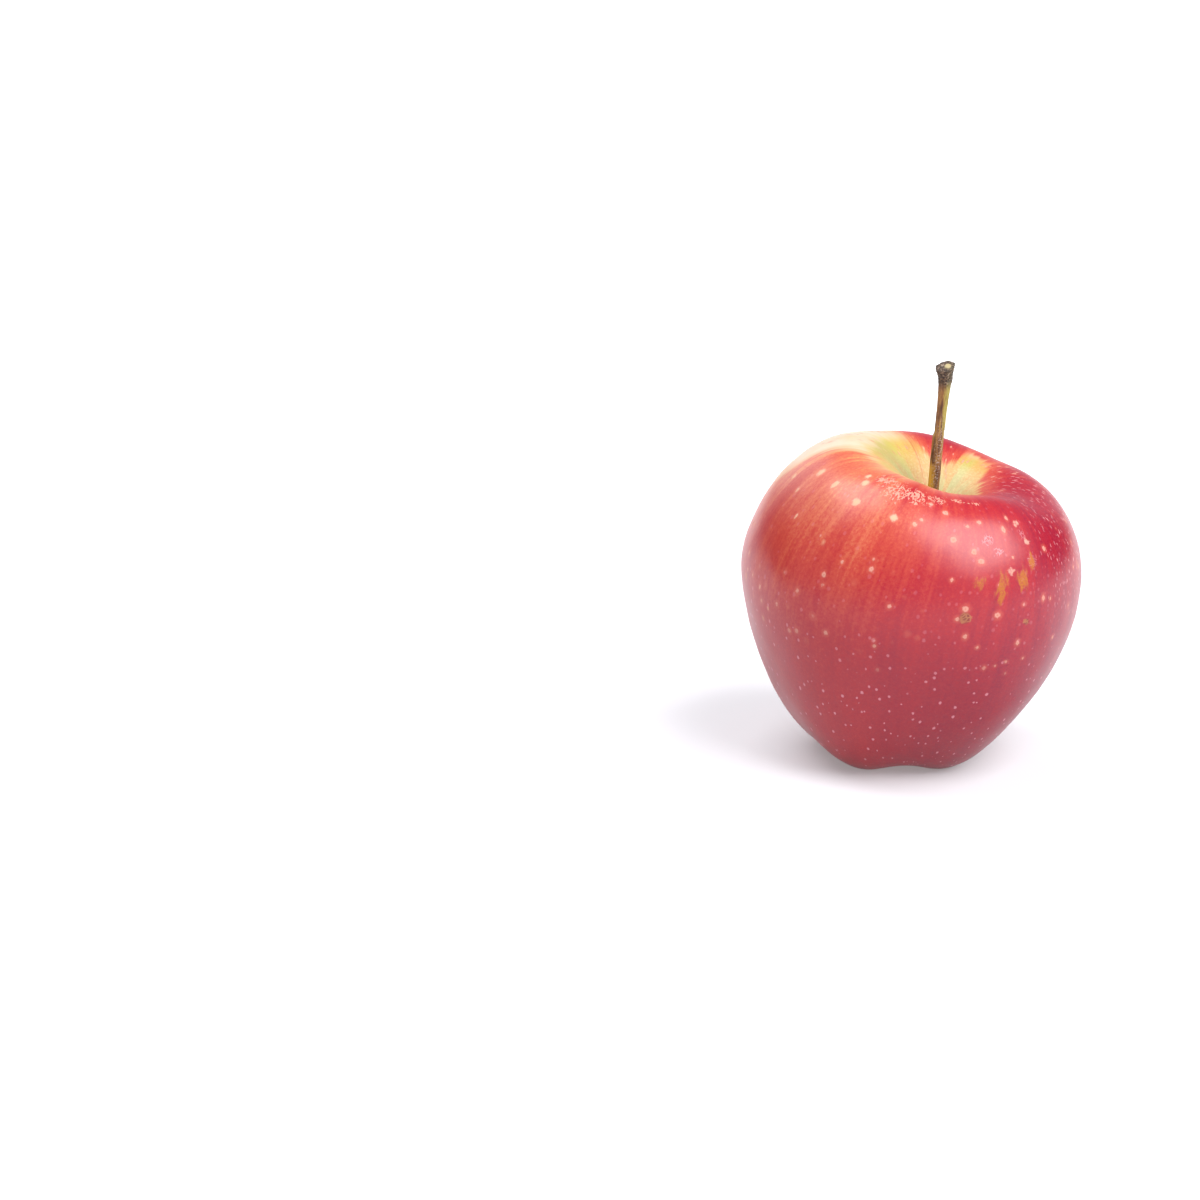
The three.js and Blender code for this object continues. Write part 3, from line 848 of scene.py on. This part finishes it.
depth = around(RED_DEPTHS, degrees)
depth = depth + (1 - depth) * RIPENING * smooth(down, *RIPER_BELOW)
inside = smooth(into_red, 0, THIN_EDGE["reach"])
depth = depth * (THIN_EDGE["share"] + (1 - THIN_EDGE["share"]) * inside)
depth = depth + FLUSH_DEPTH * spot(FLUSH)
green = spot(GREEN_TINGE)
hollow_depth = smooth(down, *HOLLOW)
lowness = smooth(down, *LOW_SKIN)
dashes = np.exp(-((apart(degrees, DASH_SIDE["azimuth"]) / DASH_SIDE["spread"]) ** 4))
dashes = dashes * smooth(down, *DASHES_BEGIN) * smooth(down, *DASHES_END)
print("depth of the red:", round(float(depth.min()), 2), "to", round(float(depth.max()), 2))


# %% Dress the fruit
def on_rings(values):
    """Values on the skin's rings, taken on to the floors and peaks of the socket and the eye."""
    first, last = values[:1], values[-1:]
    rows = np.concatenate([first, values, last])
    return np.concatenate([rows.reshape(-1, *values.shape[2:]), rows[0, :1], rows[-1, :1]])


# Patterns are laid out on a cylinder of the belly's girth, and as long as the skin is.
belly_ring = FRUIT["belly_radius"] * np.stack([np.cos(azimuths), np.sin(azimuths)], axis=-1)
belly_ring = np.broadcast_to(belly_ring[None, :, :], (*skin.shape[:2], 2))
skin_place = np.concatenate([belly_ring, down[..., None]], axis=-1) * MM

fruit = make_piece("apple_fruit", fruit_points, fruit_faces, skin_material)
noted = dict(skin_place=skin_place, into_red=into_red, depth=depth, hollow=hollow_depth, green=green)
noted.update(lowness=lowness, dashes=dashes, **marks)
for name, values in noted.items():
    note_on_points(fruit, name, on_rings(values))
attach(fruit, "root")
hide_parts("fruit")
print("fruit carries", len(fruit.data.attributes), "attributes")


# %% [markdown]
# ## The shape of the stem
# The stem is the stalk of the flower, turned woody. It is a slim shank that swells to a knob where it broke
# off the spur of the tree. A smooth line through a few points gives its bend, and rings along that line its
# girth, like a tube. A plain tube would look turned on a lathe, so the rings also carry long ridges, a
# swollen joint halfway up, a rough knob with a pointed rim, and the raised scar of the break.

# %% Line of the stem
STEM_ROUTE = [(6.2, -2.6, 62.8), (6.95, -3.2, 73.4), (7.6, -3.7, 83.0), (8.0, -3.9, 90.4)]
STEM_GIRTH = [
    (0, 1.02), (0.1, 1.12), (0.3, 1.17), (0.55, 1.08), (0.75, 1.14), (0.88, 1.38), (0.95, 1.62), (1, 1.92),
]  # fmt: skip
GAP = 0.3


def through(points, steps=40):
    """A smooth line through points: Catmull-Rom stretches, timed by the root of their length."""
    points = np.array(points, dtype=float)
    points = np.vstack([2 * points[0] - points[1], points, 2 * points[-1] - points[-2]])
    times = np.sqrt(np.linalg.norm(np.diff(points, axis=0), axis=1))
    t = np.linspace(0, 1, steps, endpoint=False)[:, None]
    line = []
    for i in range(1, len(points) - 2):
        before, span, after = times[i - 1 : i + 2]
        a, b, c, d = points[i - 1 : i + 3]
        leaving = ((b - a) / before - (c - a) / (before + span)) * span + (c - b)
        arriving = ((d - c) / after - (d - b) / (span + after)) * span + (c - b)
        rise = t**2 * (3 - 2 * t)
        line.append(b + (c - b) * rise + leaving * t * (1 - t) ** 2 - arriving * t**2 * (1 - t))
    return np.vstack([*line, points[-2]])


neck_height = FRUIT["shoulder_height"] - HOLLOW_DEPTH
stem_root = grown(0, np.array(neck_height - SOCKET["depth"] + GAP), 0)
stem_neck = grown(0, np.array(neck_height), 0)
stem_line = through([stem_root, stem_neck, *STEM_ROUTE])
stem_length = along(stem_line)[-1]
girth_line = through(STEM_GIRTH)
print("stem:", round(float(stem_length), 1), "mm long")


# %% Stem mesh
STEM_SIDES = 96
STEM_ROWS = 260
SCAR_ROWS = 14
SCAR_OFFSET = np.array([0.35, -0.5, 0.0])  # millimetres from the middle of the break
KNOB_FROM = 0.93
KNOB_SLANT = (0.2, 0.42)  # rise of the break towards the right and the back, per millimetre
BARK_RIDGES = [  # count, twist, share of the radius
    (3, 7, 0.03), (5, -11, 0.03), (9, 16, 0.012), (14, -23, 0.008),
]  # fmt: skip
SPUR = dict(height=0.22, narrowness=6)  # the knob's pointed rim: share of the radius, power of a cosine
JOINT = dict(foot=0.15, full=0.5, top=0.64, ledge=0.03, height=0.32)  # shares of the length, and millimetres
BARK_GRAINS = [(1.3, 0.035, 21), (0.5, 0.02, 22)]  # wavelength and height in millimetres, and seed
BARK_GRAIN_STRETCH = (1, 1, 0.22)
KNOB_GRAINS = [(1.5, 0.10, 23), (0.7, 0.07, 24)]
KNOB_CRUMBLES = (0.86, 0.97)  # shares of the length where the knob's grains set in and are full
BREAK = dict(middle=0.06, crumbs=0.7)  # shares: of the rim for its first ring, and of the knob's grains
BREAK.update(dome=0.3, scar_height=0.18, scar_rim=0.6, scar_foot=0.82)  # millimetres


def stem_rings():
    """Rings from the top of the stem to its root, and how far up each is, from 0 to 1."""
    shares = np.linspace(1, 0, STEM_ROWS)[:, None]
    turn = circle(STEM_SIDES)
    ups = shares[:, 0] * stem_length
    centres = [np.interp(ups, along(stem_line), stem_line[:, axis]) for axis in range(3)]
    radius = np.interp(shares, girth_line[:, 0], girth_line[:, 1])
    ridges = sum(size * np.sin(count * turn + twist * shares) for count, twist, size in BARK_RIDGES)
    knob = np.clip((shares - KNOB_FROM) / (1 - KNOB_FROM), 0, 1)
    spur = SPUR["height"] * knob * np.maximum(0, -np.cos(turn)) ** SPUR["narrowness"]
    ledge = smooth(shares, JOINT["top"], JOINT["top"] - JOINT["ledge"])
    joint = JOINT["height"] * smooth(shares, JOINT["foot"], JOINT["full"]) * ledge
    reach = radius * (1 + ridges + spur) + joint * (1 - np.cos(turn)) / 2
    slant = KNOB_SLANT[0] * np.cos(turn) + KNOB_SLANT[1] * np.sin(turn)
    offsets = np.stack([reach * np.cos(turn), reach * np.sin(turn), reach * slant * knob], -1)
    rings = np.stack(centres, -1)[:, None, :] + offsets
    level = np.zeros(reach.shape)
    outward = np.stack([np.cos(turn) + level, np.sin(turn) + level, level], -1)
    drawn_out = rings * BARK_GRAIN_STRETCH
    for wavelength, height, seed in BARK_GRAINS:
        rings = rings + outward * height * swelling(drawn_out, wavelength, seed)[..., None]
    rough = smooth(shares, *KNOB_CRUMBLES)[..., None]
    for wavelength, height, seed in KNOB_GRAINS:
        rings = rings + outward * rough * height * swelling(rings, wavelength, seed)[..., None]
    return rings, np.broadcast_to(shares, rings.shape[:2])


def broken_face(rim, rows):
    """Rings from the middle of the break out to the rim, with the raised scar of the vessels."""
    middle = rim.mean(axis=0)
    inward = np.linspace(BREAK["middle"], 1, rows, endpoint=False)[:, None, None]
    rings = middle + (rim - middle) * inward
    offset = np.linalg.norm((rings - middle - SCAR_OFFSET)[..., :2], axis=-1)
    scar = smooth(offset, BREAK["scar_foot"], BREAK["scar_rim"])
    dome = BREAK["dome"] * (1 - inward[..., 0] ** 2)
    rings[..., 2] += dome + BREAK["scar_height"] * scar
    for wavelength, height, seed in KNOB_GRAINS:
        rings[..., 2] += BREAK["crumbs"] * (1 - scar) * height * swelling(rings, wavelength, seed)
    return rings, scar


side_rings, side_shares = stem_rings()
face_rings, face_scar = broken_face(side_rings[0], SCAR_ROWS)
stem_points, stem_faces = skin_over(np.concatenate([face_rings, side_rings]))
print("stem:", len(stem_points), "points,", len(stem_faces), "faces")


# %% [markdown]
# ## Stem bark
# The bark of a stem is thin cork over green tissue. It is brown and reddish where it is old, olive green
# where the tissue shows through, and crumbling into pale flakes of scurf low on its shaded side. The olive
# on the upper side that faces the front light and the bright amber low on the other side are partly painted
# light. It is nearly matt, which sets it off from the waxy skin. The break at the top is raw wood: dark and
# crusty on the rim, with the pale scar of the vessels.

# %% Stem finish
BARK_STRETCH = (1, 1, 0.13)
BARK_STREAK = 0.6  # millimetres, as are the next four
KNOB_CRUST = 0.45
BARK_CRUMB = 0.4
BARK_RELIEF = 0.12
KNOB_RELIEF = 0.25
BARK_ROUGHNESS = 0.6
KNOB_COVER = 0.92  # how much of the bark the crust of the knob hides
TINGE_COVER = 0.85
BARK_BROWNS = [(0.32, "#2a160c"), (0.44, "#603818"), (0.56, "#8c6030"), (0.7, "#a5824a")]
KNOB_BROWNS = [(0.4, "#0c0806"), (0.5, "#2f1e14"), (0.59, "#66503e"), (0.7, "#978b7d")]
# Olive and amber are partly painted light: olive where the front light falls, amber brightening the stem in
# the hollow's shade.
BARK_TINGES = dict(olive="#8c8434", amber="#d29c36", rusty="#4a1c12")
SCURF = (0.75, "#b3a198")  # how much it covers, and its colour
VESSELS = (0.85, "#a8996e")


def stem_finish():
    """Returns the material of the stem."""
    material, tree = new_material("stem bark, dry")
    place = add(tree, "Attribute", out="Vector", attribute_name="bark_place")
    rise = add(tree, "Attribute", out="Fac", attribute_name="rise")
    knob = add(tree, "MapRange", {0: rise, 1: 0.86, 2: 0.93}, interpolation_type="SMOOTHSTEP")

    drawn_out = add(tree, "VectorMath", {0: place, 1: BARK_STRETCH}, operation="MULTIPLY")
    streak = {"Vector": drawn_out, "Scale": repeats(BARK_STREAK), "Detail": 4, "Roughness": 0.65}
    streak = add(tree, "TexNoise", streak)
    bark = add(tree, "ValToRGB", {0: streak})
    fill_ramp(bark.node.color_ramp, BARK_BROWNS)

    # Green tissue shows on the upper side and an amber one low on the other. Both are partly painted light:
    # the olive where the front light falls, the amber brightening the stem where the hollow shades it.
    # Streaks fray both.
    layers = []
    for name, hex_colour in BARK_TINGES.items():
        share = add(tree, "Attribute", out="Fac", attribute_name=name)
        share = add(tree, "Math", {0: streak, 1: 2.0, 2: share}, operation="MULTIPLY_ADD")
        share = add(tree, "MapRange", {0: share, 1: 1.1, 2: 1.75}, interpolation_type="SMOOTHSTEP")
        layers.append((share, TINGE_COVER, hex_colour))
    scurf = {"Vector": place, "Scale": repeats(BARK_CRUMB), "Detail": 4, "Roughness": 0.7}
    scurf = add(tree, "TexNoise", scurf)
    scurf = add(tree, "MapRange", {0: scurf, 1: 0.52, 2: 0.61}, interpolation_type="SMOOTHSTEP")
    speckled = add(tree, "Attribute", out="Fac", attribute_name="speckled")
    scurf = add(tree, "Math", {0: scurf, 1: speckled}, operation="MULTIPLY")
    bark = laid_over(tree, bark, [*layers, (scurf, *SCURF)])

    # The knob is crusty: nearly black, with brown and grey crumbs.
    crust = {"Vector": place, "Scale": repeats(KNOB_CRUST), "Detail": 3, "Roughness": 0.7}
    crust = add(tree, "TexNoise", crust)
    crumbs = add(tree, "ValToRGB", {0: crust})
    fill_ramp(crumbs.node.color_ramp, KNOB_BROWNS)
    knobby = add(tree, "Math", {0: knob, 1: KNOB_COVER}, operation="MULTIPLY")
    bark = add(tree, "Mix", {0: knobby, BELOW: bark, OVER: crumbs}, MIXED, data_type="RGBA")
    vessels = add(tree, "Attribute", out="Fac", attribute_name="scar")
    bark = laid_over(tree, bark, [(vessels, *VESSELS)])

    height = add(tree, "Math", {0: streak, 1: BARK_RELIEF * MM}, operation="MULTIPLY")
    crust_height = add(tree, "Math", {0: crust, 1: knob}, operation="MULTIPLY")
    height = {0: crust_height, 1: KNOB_RELIEF * MM, 2: height}
    height = add(tree, "Math", height, operation="MULTIPLY_ADD")
    relief = add(tree, "Bump", {"Strength": 1.0, "Distance": 1.0, "Height": height})
    finish = {"Base Color": bark, "Roughness": BARK_ROUGHNESS, "Normal": relief}
    add(tree, "OutputMaterial", {"Surface": add(tree, "BsdfPrincipled", finish)})
    return material


stem_material = stem_finish()
print("stem finish:", len(stem_material.node_tree.nodes), "nodes")


# %% Dress the stem
BARK_GIRTH = 1.3  # millimetres, the radius at which the bark's patterns are laid out
# The olive zone faces the front light and the amber one lies in the hollow's shade. Both are partly painted
# light.
BARK_ZONES = {  # strength, azimuth in degrees, narrowness, and the shares of the length: none and full
    "olive": (0.75, -25, 1, 0.5, 0.72),
    "amber": (1.0, 205, 1, 0.5, 0.38),
    "rusty": (0.55, 275, 3, 0.52, 0.4),
    "speckled": (1.0, 272, 3, 0.78, 0.6),
}
stem = make_piece("apple_stem", stem_points, stem_faces, stem_material)
stem_turn = circle(STEM_SIDES)
shares = np.concatenate([np.ones(face_scar.shape), side_shares])


def bark_zone(strength, azimuth, narrowness, none, full):
    """Where the bark faces this azimuth in degrees, along one stretch of the stem, up to its strength."""
    facing = np.clip(np.cos(stem_turn - math.radians(azimuth)), 0, 1)
    return strength * facing**narrowness * smooth(shares, none, full)


scar_everywhere = np.concatenate([face_scar, np.zeros(side_shares.shape)])
bark_ring = BARK_GIRTH * np.stack([np.cos(stem_turn), np.sin(stem_turn)], axis=-1)
bark_ring = np.broadcast_to(bark_ring, (*shares.shape, 2))
bark_place = np.concatenate([bark_ring, stem_length * shares[..., None]], axis=-1)
bark_place[: len(face_rings)] = face_rings


def with_peaks(values):
    """Values on rings, and those of the middle of the first and the last ring."""
    flat = values.reshape(-1, *values.shape[2:])
    return np.concatenate([flat, flat[:1], flat[-1:]])


noted = dict(bark_place=bark_place * MM, rise=shares, scar=scar_everywhere)
noted.update({name: bark_zone(*zone) for name, zone in BARK_ZONES.items()})
for name, values in noted.items():
    note_on_points(stem, name, with_peaks(values))
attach(stem, "root")
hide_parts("stem")


# %% [markdown]
# ## The calyx
# What is left of the flower sits in the eye: five dried sepals, curled back like a star, with the withered
# stamens between them. Each sepal is a thin blade bent along a Bezier line, waved along its edges as a dry
# leaf is, and each is a little different. Fine wool covers them, as short tapered hairs in mesh form,
# because hair curves would be lost when the model leaves Blender.

# %% Sepals
CALYX_AXIS = grown(0, np.array(BASIN_DEPTH), 0)[:2]
SEPAL_LINE = [(1.5, 9.4), (2.0, 5.6), (4.2, 4.2), (5.8, 5.4)]
SEPAL = dict(width=3.2, tip=0.5, thickness=0.5, arch=0.5, steps=30, sides=24)
SEPAL_WAVE = dict(height=0.22, turn=9, none=0.2, full=0.7)  # millimetres, radians, shares of the length
SEPAL_VEINS = dict(height=0.08, count=5)
SEPAL_TWIST = 0.5
SEPAL_TAPER = 1.5
calyx_draw = random.Random(5)


def join(parts):
    """Joins (points, faces) pairs into one."""
    points, faces, count = [], [], 0
    for part_points, part_faces in parts:
        points.append(part_points)
        faces += [[count + corner for corner in face] for face in part_faces]
        count += len(part_points)
    return np.vstack(points), faces


def turned(points, azimuth):
    """Points turned about the upright axis."""
    cos, sin = math.cos(azimuth), math.sin(azimuth)
    x, y = points[..., 0] * cos - points[..., 1] * sin, points[..., 0] * sin + points[..., 1] * cos
    return np.stack([x, y, points[..., 2]], axis=-1)


def sepal_rings(azimuth):
    """Rings round one sepal's blade, from its root to its tip."""
    t = np.linspace(0, 1, SEPAL["steps"])[:, None]
    line = bezier(*map(np.array, SEPAL_LINE), t)
    run = unit(np.gradient(line, axis=0))
    angle = circle(SEPAL["sides"])
    width = SEPAL["width"] + (SEPAL["tip"] - SEPAL["width"]) * t**SEPAL_TAPER
    edge = -np.cos(angle)
    phase = calyx_draw.uniform(0, math.tau)
    twist = calyx_draw.uniform(-SEPAL_TWIST, SEPAL_TWIST)
    wave = SEPAL_WAVE["height"] * np.sin(SEPAL_WAVE["turn"] * t + phase + np.sign(edge)) * edge**2
    wave = wave * smooth(t, SEPAL_WAVE["none"], SEPAL_WAVE["full"])
    vein = SEPAL_VEINS["height"] * np.cos(SEPAL_VEINS["count"] * np.arcsin(np.clip(edge, -1, 1)))
    vein = vein * np.sin(angle)
    out = SEPAL["arch"] * np.sin(angle) ** 2 * width / SEPAL["width"]
    out = out + SEPAL["thickness"] / 2 * np.sin(angle)
    out = out + wave + vein + twist * edge * t**2
    across = edge * width / 2
    rings = np.stack([line[:, :1] - run[:, 1:] * out, across, line[:, 1:] + run[:, :1] * out], axis=-1)
    return turned(rings, azimuth)


sepal_azimuths = [RIB_AZIMUTH + math.tau * number / RIB_COUNT for number in range(RIB_COUNT)]
sepals = [sepal_rings(azimuth) for azimuth in sepal_azimuths]
print("sepals:", len(sepals), "of", SEPAL["steps"] * SEPAL["sides"], "points each")


# %% Plug, stamens and wool
EYE_TOP = BASIN_DEPTH + EYE["depth"] - GAP
PLUG = dict(radius=2.5, height=2.4, sides=48)
PLUG_TOP = [(0.24, 0), (0.64, 0), (1, -0.1)]  # share of the radius, and millimetres from the top
PLUG_FLOOR = [(1, 0.5), (0.76, 0.1), (0.52, 0), (0.28, -0.1), (0.1, -0.2)]  # and from the floor
WRINKLES = dict(wavelength=1.1, height=0.08, seed=31)
STAMENS = dict(count=9, ring=0.9, flare=1.7, length=2.7, radius=0.13, anther=0.3, sink=0.4, bend=0.5)
STAMENS.update(shortest=0.8, thinning=0.3, anther_at=0.9, anther_spread=0.09)  # shares of one's size
WOOL = dict(hairs=320, length=0.7, radius=0.02, spread=0.9, droop=0.2)


def tapered(line, radii, sides):
    """A closed tube along a line of points, with a radius at each."""
    line = np.array(line, dtype=float)
    run = unit(np.gradient(line, axis=0))
    aside = unit(np.cross(run, [0.31, 0.17, 0.93]))  # any direction will do that no line runs in
    third = np.cross(run, aside)
    turn = circle(sides)[..., None]
    radii = np.array(radii)[:, None, None]
    rings = line[:, None, :] + radii * (aside[:, None, :] * np.cos(turn) - third[:, None, :] * np.sin(turn))
    return skin_over(rings)


def plug():
    """The dried floor of the flower, domed and wrinkled, which fills the eye."""
    turn = circle(PLUG["sides"])
    floor = EYE_TOP - PLUG["height"]
    radii = PLUG["radius"] * np.array([share for share, _ in PLUG_TOP + PLUG_FLOOR])[:, None]
    heights = [EYE_TOP + rise for _, rise in PLUG_TOP] + [floor + rise for _, rise in PLUG_FLOOR]
    heights = np.broadcast_to(np.array(heights)[:, None], (len(radii), turn.size))
    rings = np.stack([radii * np.cos(turn), radii * np.sin(turn), heights], -1)
    wrinkled = WRINKLES["height"] * swelling(rings, WRINKLES["wavelength"], WRINKLES["seed"])
    return skin_over(rings + wrinkled[..., None] * (0, 0, 1))


def stamen(azimuth):
    """A withered filament that carries a split anther."""
    bend = calyx_draw.uniform(-STAMENS["bend"], STAMENS["bend"])
    length = STAMENS["length"] * calyx_draw.uniform(STAMENS["shortest"], 1)
    t = np.linspace(0, 1, 14)
    out = STAMENS["ring"] * (1 + (STAMENS["flare"] - 1) * t**1.3)
    root = EYE_TOP - PLUG["height"] + STAMENS["sink"]
    line = np.stack([out, bend * t**2, root - length * t], -1)
    anther = bell(t - STAMENS["anther_at"], STAMENS["anther_spread"])
    anther = (STAMENS["anther"] - STAMENS["radius"]) * anther
    radii = STAMENS["radius"] * (1 - STAMENS["thinning"] * t) + anther
    return tapered(turned(line, azimuth), radii, 8)


def wool(rings):
    """Short hairs on both faces of a sepal."""
    hairs = []
    steps, sides = rings.shape[:2]
    for _ in range(WOOL["hairs"]):
        step = calyx_draw.randrange(3, steps - 1)
        side = calyx_draw.randrange(sides)
        root = rings[step, side]
        away = unit(root - rings[step].mean(axis=0))
        away = away + [calyx_draw.uniform(-WOOL["spread"], WOOL["spread"]) for _ in range(3)]
        away = unit(away) * WOOL["length"] * calyx_draw.uniform(0.5, 1)
        droop = np.array([0, 0, calyx_draw.uniform(-WOOL["droop"], WOOL["droop"])])
        line = [root - 0.1 * away, root + 0.5 * away, root + away + droop]
        hairs.append(tapered(line, [WOOL["radius"], 0.7 * WOOL["radius"], 0.2 * WOOL["radius"]], 3))
    return hairs


stamens = [stamen(math.tau * number / STAMENS["count"]) for number in range(STAMENS["count"])]
blades = [skin_over(rings[:, ::-1]) for rings in sepals]
hairs = [hair for rings in sepals for hair in wool(rings)]
calyx_points, calyx_faces = join([plug(), *blades, *stamens, *hairs])
calyx_points[:, :2] += CALYX_AXIS
print("calyx:", len(calyx_points), "points,", len(calyx_faces), "faces")


# %% [markdown]
# ## Dried sepals
# Dead leaf tissue under grey wool: matt, brown to nearly black in the folds, and paler where the wool
# catches the light. Two noises mix the three, one for the tissue and a finer one for the wool.

# %% Calyx finish
TISSUE = 1.6  # millimetres, as are the next two
WOOL_PATCH = 0.25
TISSUE_RELIEF = 0.15
SEPAL_ROUGHNESS = 0.85
WOOL_SHEEN = dict(weight=0.3, roughness=0.5)
SEPAL_BROWNS = [(0.25, "#2a1a10"), (0.5, "#553a22"), (0.75, "#7d6240")]
WOOL_GREY = (0.6, "#a89a80")  # how much it covers, and its colour


def calyx_finish():
    """Returns the material of the calyx."""
    material, tree = new_material("sepal, dried and woolly")
    place = add(tree, "TexCoord", out="Object")
    tissue = add(tree, "TexNoise", {"Vector": place, "Scale": repeats(TISSUE), "Detail": 4})
    brown = add(tree, "ValToRGB", {0: tissue})
    fill_ramp(brown.node.color_ramp, SEPAL_BROWNS)
    felt = add(tree, "TexNoise", {"Vector": place, "Scale": repeats(WOOL_PATCH), "Detail": 3})
    felt = add(tree, "MapRange", {0: felt, 1: 0.5, 2: 0.7}, interpolation_type="SMOOTHSTEP")
    colour = laid_over(tree, brown, [(felt, *WOOL_GREY)])
    height = add(tree, "Math", {0: tissue, 1: TISSUE_RELIEF * MM}, operation="MULTIPLY")
    relief = add(tree, "Bump", {"Strength": 1.0, "Distance": 1.0, "Height": height})
    finish = {"Base Color": colour, "Roughness": SEPAL_ROUGHNESS, "Normal": relief}
    finish.update({"Sheen Weight": WOOL_SHEEN["weight"], "Sheen Roughness": WOOL_SHEEN["roughness"]})
    add(tree, "OutputMaterial", {"Surface": add(tree, "BsdfPrincipled", finish)})
    return material


calyx = make_piece("apple_calyx", calyx_points, calyx_faces, calyx_finish())
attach(calyx, "root")
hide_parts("calyx")
print("calyx dressed")


# %% [markdown]
# ## The floor
# A white sweep of paper, lit from above, that also glows. The glow is painted light: weak near the fruit and
# strong away from it, so that the floor stays pure white to the horizon and still shows a faint shadow where
# the apple stands.

# %% Floor
FLOOR_HALF = 8.0  # metres
PAPER = "#c3c2c6"
# Painted light: the paper glows with the radiance 'under' near the fruit, rising to 'away' far from it.
FLOOR_GLOW = dict(near=0.05, far=0.6, under=0.24, away=1.3)  # metres, metres, radiances


def flat_piece(name, corners, material):
    """A flat four-cornered object for the set."""
    mesh = bpy.data.meshes.new(name)
    mesh.from_pydata([tuple(corner) for corner in corners], [], [(0, 1, 2, 3)])
    mesh.materials.append(material)
    piece = bpy.data.objects.new(name, mesh)
    bpy.context.scene.collection.objects.link(piece)
    return piece


paper, tree = new_material("white paper sweep")
from_middle = {0: add(tree, "TexCoord", out="Object")}
from_middle = add(tree, "VectorMath", from_middle, out="Value", operation="LENGTH")
glow = {0: from_middle, 1: FLOOR_GLOW["near"], 2: FLOOR_GLOW["far"]}
glow.update({3: FLOOR_GLOW["under"], 4: FLOOR_GLOW["away"]})
# The paper's glow is painted light, weakest round the fruit so that its shadow shows.
floor_glow = add(tree, "Emission", {"Strength": add(tree, "MapRange", glow)})
sheet = add(tree, "BsdfDiffuse", {"Color": linear(PAPER)})
add(tree, "OutputMaterial", {"Surface": add(tree, "AddShader", {0: sheet, 1: floor_glow})})

far = FLOOR_HALF
flat_piece("floor", [(-far, -far, 0), (far, -far, 0), (far, far, 0), (-far, far, 0)], paper)
print("floor:", 2 * FLOOR_HALF, "m wide")


# %% [markdown]
# ## The light
# The room is white low down and dim above, so the rims of the fruit turn pale and its top keeps its depth.
# Three softboxes give the broad, soft reflections of a studio: one in front on the right, one overhead at
# the back, and a weak one behind on the left. A black card stands on each side, out of the picture. What
# the skin mirrors there is dark, so that its red stays deep beside the pale rims.

# %% Room
ROOM_GREYS = [(0.0, "#f6f5ff"), (0.06, "#eff0fb"), (0.3, "#b4b6c0"), (0.55, "#86888f")]

world = bpy.data.worlds.new("white room")
bpy.context.scene.world = world
world.use_nodes = True
world.node_tree.nodes.clear()
room = world.node_tree
height = add(room, "SeparateXYZ", {0: add(room, "TexCoord", out="Generated")}, out="Z")
grey = add(room, "ValToRGB", {0: height})
fill_ramp(grey.node.color_ramp, ROOM_GREYS)
seen = add(room, "Background", {"Color": linear("#ffffff"), "Strength": 1.0})
lit = add(room, "Background", {"Color": grey, "Strength": 1.0})
is_camera = add(room, "LightPath", out="Is Camera Ray")
add(room, "OutputWorld", {"Surface": add(room, "MixShader", {0: is_camera, 1: lit, 2: seen})})
bpy.context.scene.view_settings.view_transform = "Standard"
print("room:", len(ROOM_GREYS), "greys from the horizon up")


# %% Softboxes
SOFTBOXES = [  # name, direction from the fruit, metres away, metres across, radiance
    ("front softbox", (0.53, -0.42, 0.75), 1.1, (0.96, 0.88), 8.8),
    ("back softbox", (-0.37, 0.13, 0.92), 1.1, (0.78, 0.76), 6.4),
    ("side softbox", (-0.52, 0.72, 0.42), 1.3, (1.0, 0.7), 1.6),
]  # fmt: skip
AIM = Vector((0, 0, 0.045))

for name, towards, distance, (width, height), radiance in SOFTBOXES:
    light = bpy.data.lights.new(name, "AREA")
    light.shape = "RECTANGLE"
    light.size, light.size_y = width, height
    light.energy = radiance * math.pi * width * height
    softbox = bpy.data.objects.new(name, light)
    softbox.location = AIM + Vector(towards).normalized() * distance
    softbox.rotation_euler = (AIM - softbox.location).to_track_quat("-Z", "Y").to_euler()
    bpy.context.scene.collection.objects.link(softbox)
    print(name, "gives", round(light.energy, 1), "W")


# %% Black cards
CARDS = [("right card", 30, 0.8, 0.6, 0.36), ("left card", 150, 0.8, 0.7, 0.4)]  # degrees, then metres
FELT = "#0a0a0a"

felt, tree = new_material("felt, black and matt")
add(tree, "OutputMaterial", {"Surface": add(tree, "BsdfDiffuse", {"Color": linear(FELT)})})
for name, azimuth, distance, width, height in CARDS:
    away = Vector((math.cos(math.radians(azimuth)), math.sin(math.radians(azimuth)), 0))
    aside = Vector((-away.y, away.x, 0)) * width / 2
    foot = away * distance
    rise = Vector((0, 0, height))
    corners = [foot - aside, foot + aside, foot + aside + rise, foot - aside + rise]
    card = flat_piece(name, corners, felt)
    card.visible_camera = False
    print(name, "is", width, "m wide")
